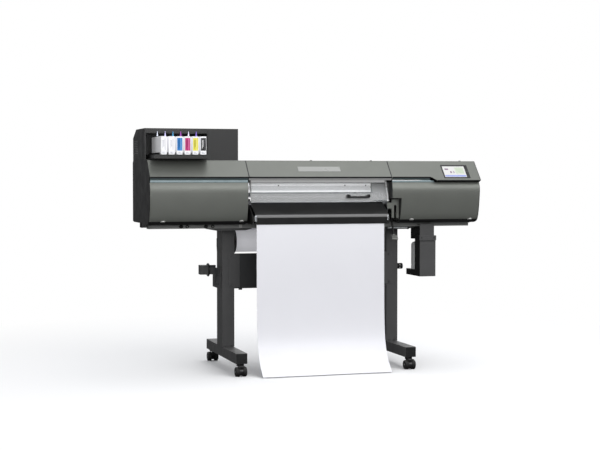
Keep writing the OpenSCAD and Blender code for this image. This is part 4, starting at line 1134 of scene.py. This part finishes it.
class CUTTER_OT_print_zone(bpy.types.Operator):
    """Finish the bed, rollers, rail and carriages"""

    bl_idname = "cutter.print_zone"
    bl_label = "Print zone"

    def execute(self, context):
        sizes = settings()[1]
        sheet = sizes.sheet_ease
        eased("platen", "bed", "aluminium", sheet)
        eased("feed_roller", "grit_roller", "zinc", sheet)
        low, high = corners("pinch_rollers")
        eased("pinch_rollers", "pinch_set", ["rubber", "steel"], 0.0004,
              zones=[((low.x, 32, low.z), (high.x, high.y, high.z), 1)])
        # The rail's finish glows as painted light.
        eased("guide_rail", "rail_extrusion", "bright_rail", sheet)
        eased("print_carriage", "print_carriage_shell", "moulded_black", 0.0018, 3)
        eased("cutting_carriage", "cutting_carriage_shell", "hood_paint", 0.0015, 3)
        eased("blade_holder", "blade_knob", "zinc", 0.0006)
        eased("carriage_drive", "belt_and_motors", "rubber", 0.0003)
        eased("cap_station", "cap_tray", "satin_black", 0.0006)
        low, high = corners("guide_rail")
        # Bands on the rail's face: the lighter ones are painted highlights, and all of them glow as
        # painted light.
        rails = Shape()
        for z, tall, tint in (
            (1026.0, 10.5, 1), (1039.0, 2.0, 0), (1043.0, 2.0, 0), (1062.5, 2.0, 0),
            (1066.5, 3.5, 1), (1074.5, 2.0, 0),
        ):
            rails.tint = tint
            rails.block((low.x + 1, low.y - 1.6, z), (high.x - 1, low.y, z + tall), 0.4)
        rails.done("rail_bands", ["bright_rail", "rail_highlight"], "machine")
        lamp = Shape()
        lamp.block((-400, -120, 1196), (410, -104, 1200), 0.5)
        lamp.done("work_lamp", "work_light", "machine")
        return {"FINISHED"}


class CUTTER_OT_shield(bpy.types.Operator):
    """Build the smoked shield in front of the bed and its end plates"""

    bl_idname = "cutter.shield"
    bl_label = "Smoked shield"

    def execute(self, context):
        low, high = corners("uv_shield")
        # The zone is the painted highlight band along the shield's rounded edge.
        eased("uv_shield", "shield_sheet", ["smoked_acrylic", "shield_highlight_band"], 0.0006,
              zones=[((low.x - 1, low.y - 1, 873), (high.x + 1, -270, 906), 1)],
              sharp=40)
        caps = Shape()
        caps.block((low.x - 6, -287, 864), (low.x + 9, -272, 898), 3.5, 3)
        caps.block((high.x - 8, -287, 864), (high.x + 2, -272, 898), 3.5, 3)
        caps.done("shield_end_caps", "zinc", "machine")
        plates = Shape()
        side = [(-170, 962), (-184, 959), (-268, 901), (-278, 887), (-279, 849), (-176, 849)]
        plates.prism(side, low.x - 14, low.x - 10.5, 0.4)
        plates.prism(side, high.x + 4, high.x + 7, 0.4)
        plates.done("shield_side_plates", "moulded_black", "machine")
        return {"FINISHED"}


class CUTTER_OT_lever(bpy.types.Operator):
    """Finish the loading lever and its slotted bracket"""

    bl_idname = "cutter.lever"
    bl_label = "Loading lever"

    def execute(self, context):
        low, high = corners("loading_lever")
        grip = ((452, -200, 742), (490, -155, 779), 1)
        shaft = ((low.x - 1, 88, 1000), (464, 112, 1030), 2)
        eased("loading_lever", "lever_arm", ["deep_black", "lever_paint", "steel"], 0.0008,
              zones=[grip, shaft])
        pad = Shape()
        pad.block((454.4, -189.5, 751), (487.6, -183.0, 769), 2.2, 3)
        pad.done("lever_grip_pad", "lever_paint", "loading_lever")
        eased("lever_bracket", "slotted_bracket", "cover_paint", 0.0005)
        return {"FINISHED"}


# ------------------------------------------------------------------ ink


CARTON_PITCH = 44.6
LAMP_FRONT = -96.5      # Y of the little lamps over the cartons
BAY_WIDTH = 361.0


class CUTTER_OT_ink_cabinet(bpy.types.Operator):
    """Finish the ink cabinet and build its cartons and lamps"""

    bl_idname = "cutter.ink_cabinet"
    bl_label = "Ink cabinet"

    def execute(self, context):
        sizes = settings()[1]
        low, high = corners("ink_cabinet")
        # Painted shade: the cabinet's left side gets the darker end black, as it faces away from
        # the light.
        eased("ink_cabinet", "cabinet_shell", ["cabinet_black", "end_black"], 0.0025, 3,
              zones=[(low - Vector((1, 1, 1)), (low.x + 12, high.y, high.z), 1)])
        labels = ("white", "white", "cyan", "magenta", "yellow", "black")
        for i, ink in enumerate(labels, 1):
            node = f"ink_pouch_{i}"
            eased(node, f"carton_{i}", "carton_board", 0.0006, 3)
            low, high = corners(node)
            face = low.y
            main = "label_" + ink
            # The paler finish is a painted highlight strip down the label.
            pale = {"white": "label_shade", "black": "label_black_pale"}.get(ink, main + "_pale")
            deep = {"white": "label_shade", "black": "carton_board"}.get(ink, main + "_deep")
            label = Shape()
            left, foot, right, top = low.x, low.z, high.x, high.z
            label.block((left + 2.2, face - 0.35, foot + 22), (right - 2.2, face, top - 9), 0.1, 1)
            # The first bar is that painted highlight: a paler vertical strip.
            bars = [(1, left + 21, left + 24.5, foot + 24, top - 11)]
            for bar in range(sizes.carton_bars):
                x = left + 8.5 + bar * 3.2
                bars.append((2, x, x + 1.6, foot + 32 + bar * 6, top - 19))
            bars += [(3, left + 7, right - 7, foot + 6, foot + 9),
                     (3, left + 7, right - 13, foot + 12, foot + 14)]
            for tint, x0, x1, z0, z1 in bars:
                label.tint = tint
                front, back = (0.5, 0.1) if tint == 3 else (0.55, 0.3)
                label.block((x0, face - front, z0), (x1, face - back, z1), 0.08, 1)
            label.done(f"carton_label_{i}", [main, pale, deep, "label_shade"], BODY_OF[node])
        lamps = ("white", "lilac", "teal", "purple", "ice", "violet")
        for i, name in enumerate(lamps):
            low, high = corners(f"ink_pouch_{i + 1}")
            x = (low.x + high.x) / 2 - 8
            lamp = Shape()
            lamp.rod((x, LAMP_FRONT, 1369), (x, LAMP_FRONT, 1345), 1.2, 5.0, 0.4, 32)
            lamp.rod((x, LAMP_FRONT, 1372), (x, LAMP_FRONT, 1368), 2.2, 1.8, 0.3, 24)
            lamp.done(f"slot_lamp_{i + 1}", "lamp_" + name, "machine")
        low, high = corners("ink_cabinet")
        rails = Shape()
        for i in range(len(labels) + 1):
            x = corners("ink_pouch_1")[0].x - 6.5 + i * CARTON_PITCH
            rails.block((x, -236, 1239.7), (x + 1.8, 96, 1252), 0.4)
        rails.done("carton_guides", "moulded_black", "machine")
        vents = Shape()
        for i in range(8):
            z = 1250 + i * 10
            vents.block((low.x - 0.6, 120, z), (low.x + 0.2, 250, z + 3.4), 0.5, 1)
        vents.done("cabinet_vents", "moulded_black", "machine")
        bay_edge = low.x + BAY_WIDTH
        seam = Shape()
        seam.block((bay_edge, -90.8, 1216), (bay_edge + 1.6, -89.6, 1386), 0.2, 1)
        seam.block((low.x + 1, -90.6, 1364.6), (bay_edge, -89.8, 1366.2), 0.2, 1)
        seam.done("cabinet_seams", "moulded_black", "machine")
        return {"FINISHED"}


INK_LEVEL = 52      # height of the waste ink in the bottle


class CUTTER_OT_waste(bpy.types.Operator):
    """Finish the waste bottle, its hanging box and the drain"""

    bl_idname = "cutter.waste"
    bl_label = "Waste bottle"

    def execute(self, context):
        box_low, box_high = corners("bottle_holder")
        outside = box_low - Vector((1, 1, 1))
        # The second zone paints the box's left wall deep black: painted shade, as that side faces
        # away from the light.
        eased("bottle_holder", "bottle_box", ["stand_powder", "deep_black"], 0.0007,
              zones=[((600, -45, 730), (760, 5, 860), 1),
                     (outside, (box_low.x + 4.5, box_high.y, box_high.z), 1)])
        low, high = corners("waste_bottle")
        base = ((low.x + high.x) / 2, (low.y + high.y) / 2, low.z)
        bottle = Shape()
        r, h = (high.x - low.x) / 2, high.z - low.z
        bottle.turned([
            (0, 1.4), (r - 9, 0.8), (r - 5, 0.0), (r - 1.5, 1.4), (r, 5), (r, 20), (r - 1, 23),
            (r - 1, 27), (r, 30), (r, h - 34), (r - 2, h - 27), (r - 8, h - 19.5), (r - 20, h - 15),
            (19, h - 12.5), (17.6, h - 11), (17.6, h - 7.5), (18, h - 7), (18, h - 5.4),
            (17.4, h - 4.8), (17.6, h), (14.6, h), (14.4, h - 12), (r - 21, h - 17.4),
            (r - 9, h - 22), (r - 3.6, h - 29), (r - 2.0, h - 35), (r - 2.0, 6), (r - 4, 2.6),
            (0, 2.4),
        ], base, (0, 0, 1), 64)
        bottle.tint = 1
        bottle.turned([
            (0, 2.6), (r - 4.4, 2.8), (r - 2.4, 6.2), (r - 2.4, INK_LEVEL), (0, INK_LEVEL),
        ], base, (0, 0, 1), 64)
        bottle.done("bottle", ["bottle_milky", "waste_ink"], BODY_OF["waste_bottle"],
                    ["waste_bottle"], 38)
        trims = Shape()
        trims.block((box_low.x + 4, box_low.y - 1.2, 736.0),
                    (box_high.x - 4, box_low.y + 0.4, 738.6), 0.4)
        for x in (box_low.x + 14, box_high.x - 14):
            bolt_head(trims, (x, box_low.y - 0.1, 756), (0, -1, 0), 3.2, 2.4)
        trims.done("bottle_box_trims", "panel_powder", "machine")
        return {"FINISHED"}


# ------------------------------------------------------------------ media


CORE_RADIUS = 38.0
FLANGE_STUDS, STUD_CIRCLE = 6, 48
LOWER_BAR = (194.0, 567.5)          # Y and Z of the bar between the hangers
HANG_FRONT, HANG_TOP = -0.2, 0.78   # metres: the web waves a little in front of and below these


class CUTTER_OT_media(bpy.types.Operator):
    """Build the media roll, its flanges, the hangers and the hanging web"""

    bl_idname = "cutter.media"
    bl_label = "Media"

    def execute(self, context):
        low, high = corners("media_roll")
        centre = (low + high) / 2
        r, w = (high.z - low.z) / 2, high.x - low.x
        roll = Shape()
        core = CORE_RADIUS
        roll.turned([
            (core, 0), (r - 1.5, 0), (r - 0.4, 0.3), (r, 1.2), (r, w - 1.2), (r - 0.4, w - 0.3),
            (r - 1.5, w), (core, w), (core, 0),
        ], (low.x, centre.y, centre.z), (1, 0, 0), 96)
        roll.done("wound_media", "roll_film", BODY_OF["media_roll"], ["media_roll"])
        low_f, high_f = corners("roll_flanges")
        rf = (high_f.z - low_f.z) / 2
        flange = Shape()
        for x, out in ((low.x, -1), (high.x, 1)):
            flange.tint = 0
            flange.turned([
                (0, -29.5), (core - 1, -29.5), (core - 0.2, -28.5), (core - 0.2, -0.4), (rf - 1, 0),
                (rf, 1.2), (rf, 5.0), (rf - 1.6, 6.4), (rf - 8, 7.0), (rf - 12, 4.0), (34, 4.0),
                (31, 10.5), (27, 12.0), (0, 12.0),
            ], (x, centre.y, centre.z), (out, 0, 0), 64)
            for k in range(FLANGE_STUDS):
                angle = k * math.tau / FLANGE_STUDS
                spot = Vector((x + out * 4.2, centre.y + STUD_CIRCLE * math.cos(angle),
                               centre.z + STUD_CIRCLE * math.sin(angle)))
                flange.rod(spot, spot + Vector((out * 2.4, 0, 0)), 7.0, 6.0, 0.5, 24)
        flange.tint = 1
        flange.rod((low_f.x, centre.y, centre.z), (high_f.x, centre.y, centre.z), 9.9, None,
                   1.2, 48)
        flange.done("flanges_and_spindle", ["moulded_black", "steel"], BODY_OF["roll_flanges"],
                    ["roll_flanges"])
        low_h, high_h = corners("media_hangers")
        eased("media_hangers", "hanger_set", ["stand_powder", "steel", "moulded_black"], 0.0008,
              zones=[((-470, 180, 550), (high_h.x - 40, 207, 582), 1),
                     ((high_h.x - 38, 150, 530), (high_h.x + 1, 230, 600), 2)])
        mid_y, bar_z = LOWER_BAR
        ends = Shape()
        ends.turned([
            (11, 0), (36, 0), (39, 2), (40, 5), (39, 8), (36, 10), (16, 12), (11, 12), (11, 0),
        ], (low_h.x + 46.5, mid_y, bar_z), (1, 0, 0), 48)
        ends.tint = 1
        for z in (bar_z + 8, bar_z - 8):
            ends.turned([(0, 0), (4, 0), (3.4, 1.8), (0, 2.4)], (high_h.x - 20, mid_y - 16.4, z),
                        (0, -1, 0), 20)
        ends.tint = 2
        ends.rod((low_h.x + 30, mid_y - 22, bar_z + 22), (low_h.x + 92, mid_y - 22, bar_z + 22),
                 7.5, None, 1.0)
        left = corners("left_column")[0]
        for y, z in ((60, 492), (100, 492), (60, 545), (100, 545)):
            bolt_head(ends, (left.x - 4, y, z), (-1, 0, 0), 4.6, 3.4)
        ends.done("hanger_ends", ["moulded_black", "white_print_and_highlight", "wheel_grey"], "machine")

        web = merged("media_sheet")
        across = [e for e in web.edges if abs((e.verts[0].co - e.verts[1].co).x) > 0.3]
        bmesh.ops.subdivide_edges(web, edges=across, cuts=30, use_grid_fill=True)
        for vert in web.verts:
            x, y, z = vert.co
            if y < HANG_FRONT and z < HANG_TOP:
                fall = min((HANG_TOP - z) / 0.5, 1.0)
                wave = math.sin(x * 7.1 + 0.6) * 0.0016 + math.sin(x * 15.7 + z * 5.0) * 0.0007
                vert.co.y += fall * wave
        sheet = make_piece(web, "hanging_media", ["media_film"], BODY_OF["media_sheet"],
                           ["media_sheet"], 50.0)
        return {"FINISHED"}


# ------------------------------------------------------------------ panel and registration

STEPS = (
    CUTTER_OT_stage,
    CUTTER_OT_finishes,
    CUTTER_OT_stand,
    CUTTER_OT_casters,
    CUTTER_OT_body,
    CUTTER_OT_back,
    CUTTER_OT_control_panel,
    CUTTER_OT_front_cover,
    CUTTER_OT_print_zone,
    CUTTER_OT_shield,
    CUTTER_OT_lever,
    CUTTER_OT_ink_cabinet,
    CUTTER_OT_waste,
    CUTTER_OT_media,
)


class CUTTER_PT_panel(bpy.types.Panel):
    """Lists the settings and the operators"""

    bl_idname = "CUTTER_PT_panel"
    bl_label = "Printer Cutter"
    bl_space_type = "VIEW_3D"
    bl_region_type = "UI"
    bl_category = "Printer Cutter"

    def draw(self, context):
        for group in settings():
            box = self.layout.box()
            for name in group.__annotations__:
                box.prop(group, name)
        for step in STEPS:
            self.layout.operator(step.bl_idname)


GROUPS = {
    "cutter_colours": CutterColours,
    "cutter_sizes": CutterSizes,
    "cutter_stage": CutterStage,
}


def register():
    for group in GROUPS.values():
        bpy.utils.register_class(group)
    for name, group in GROUPS.items():
        setattr(bpy.types.Scene, name, PointerProperty(type=group))
    for step in STEPS:
        bpy.utils.register_class(step)
    bpy.utils.register_class(CUTTER_PT_panel)


def unregister():
    bpy.utils.unregister_class(CUTTER_PT_panel)
    for step in reversed(STEPS):
        bpy.utils.unregister_class(step)
    for name, group in GROUPS.items():
        delattr(bpy.types.Scene, name)
        bpy.utils.unregister_class(group)


def main():
    register()
    for step in STEPS:
        area, name = step.bl_idname.split(".")
        getattr(getattr(bpy.ops, area), name)()
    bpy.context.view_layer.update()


if __name__ == "__main__":
    main()
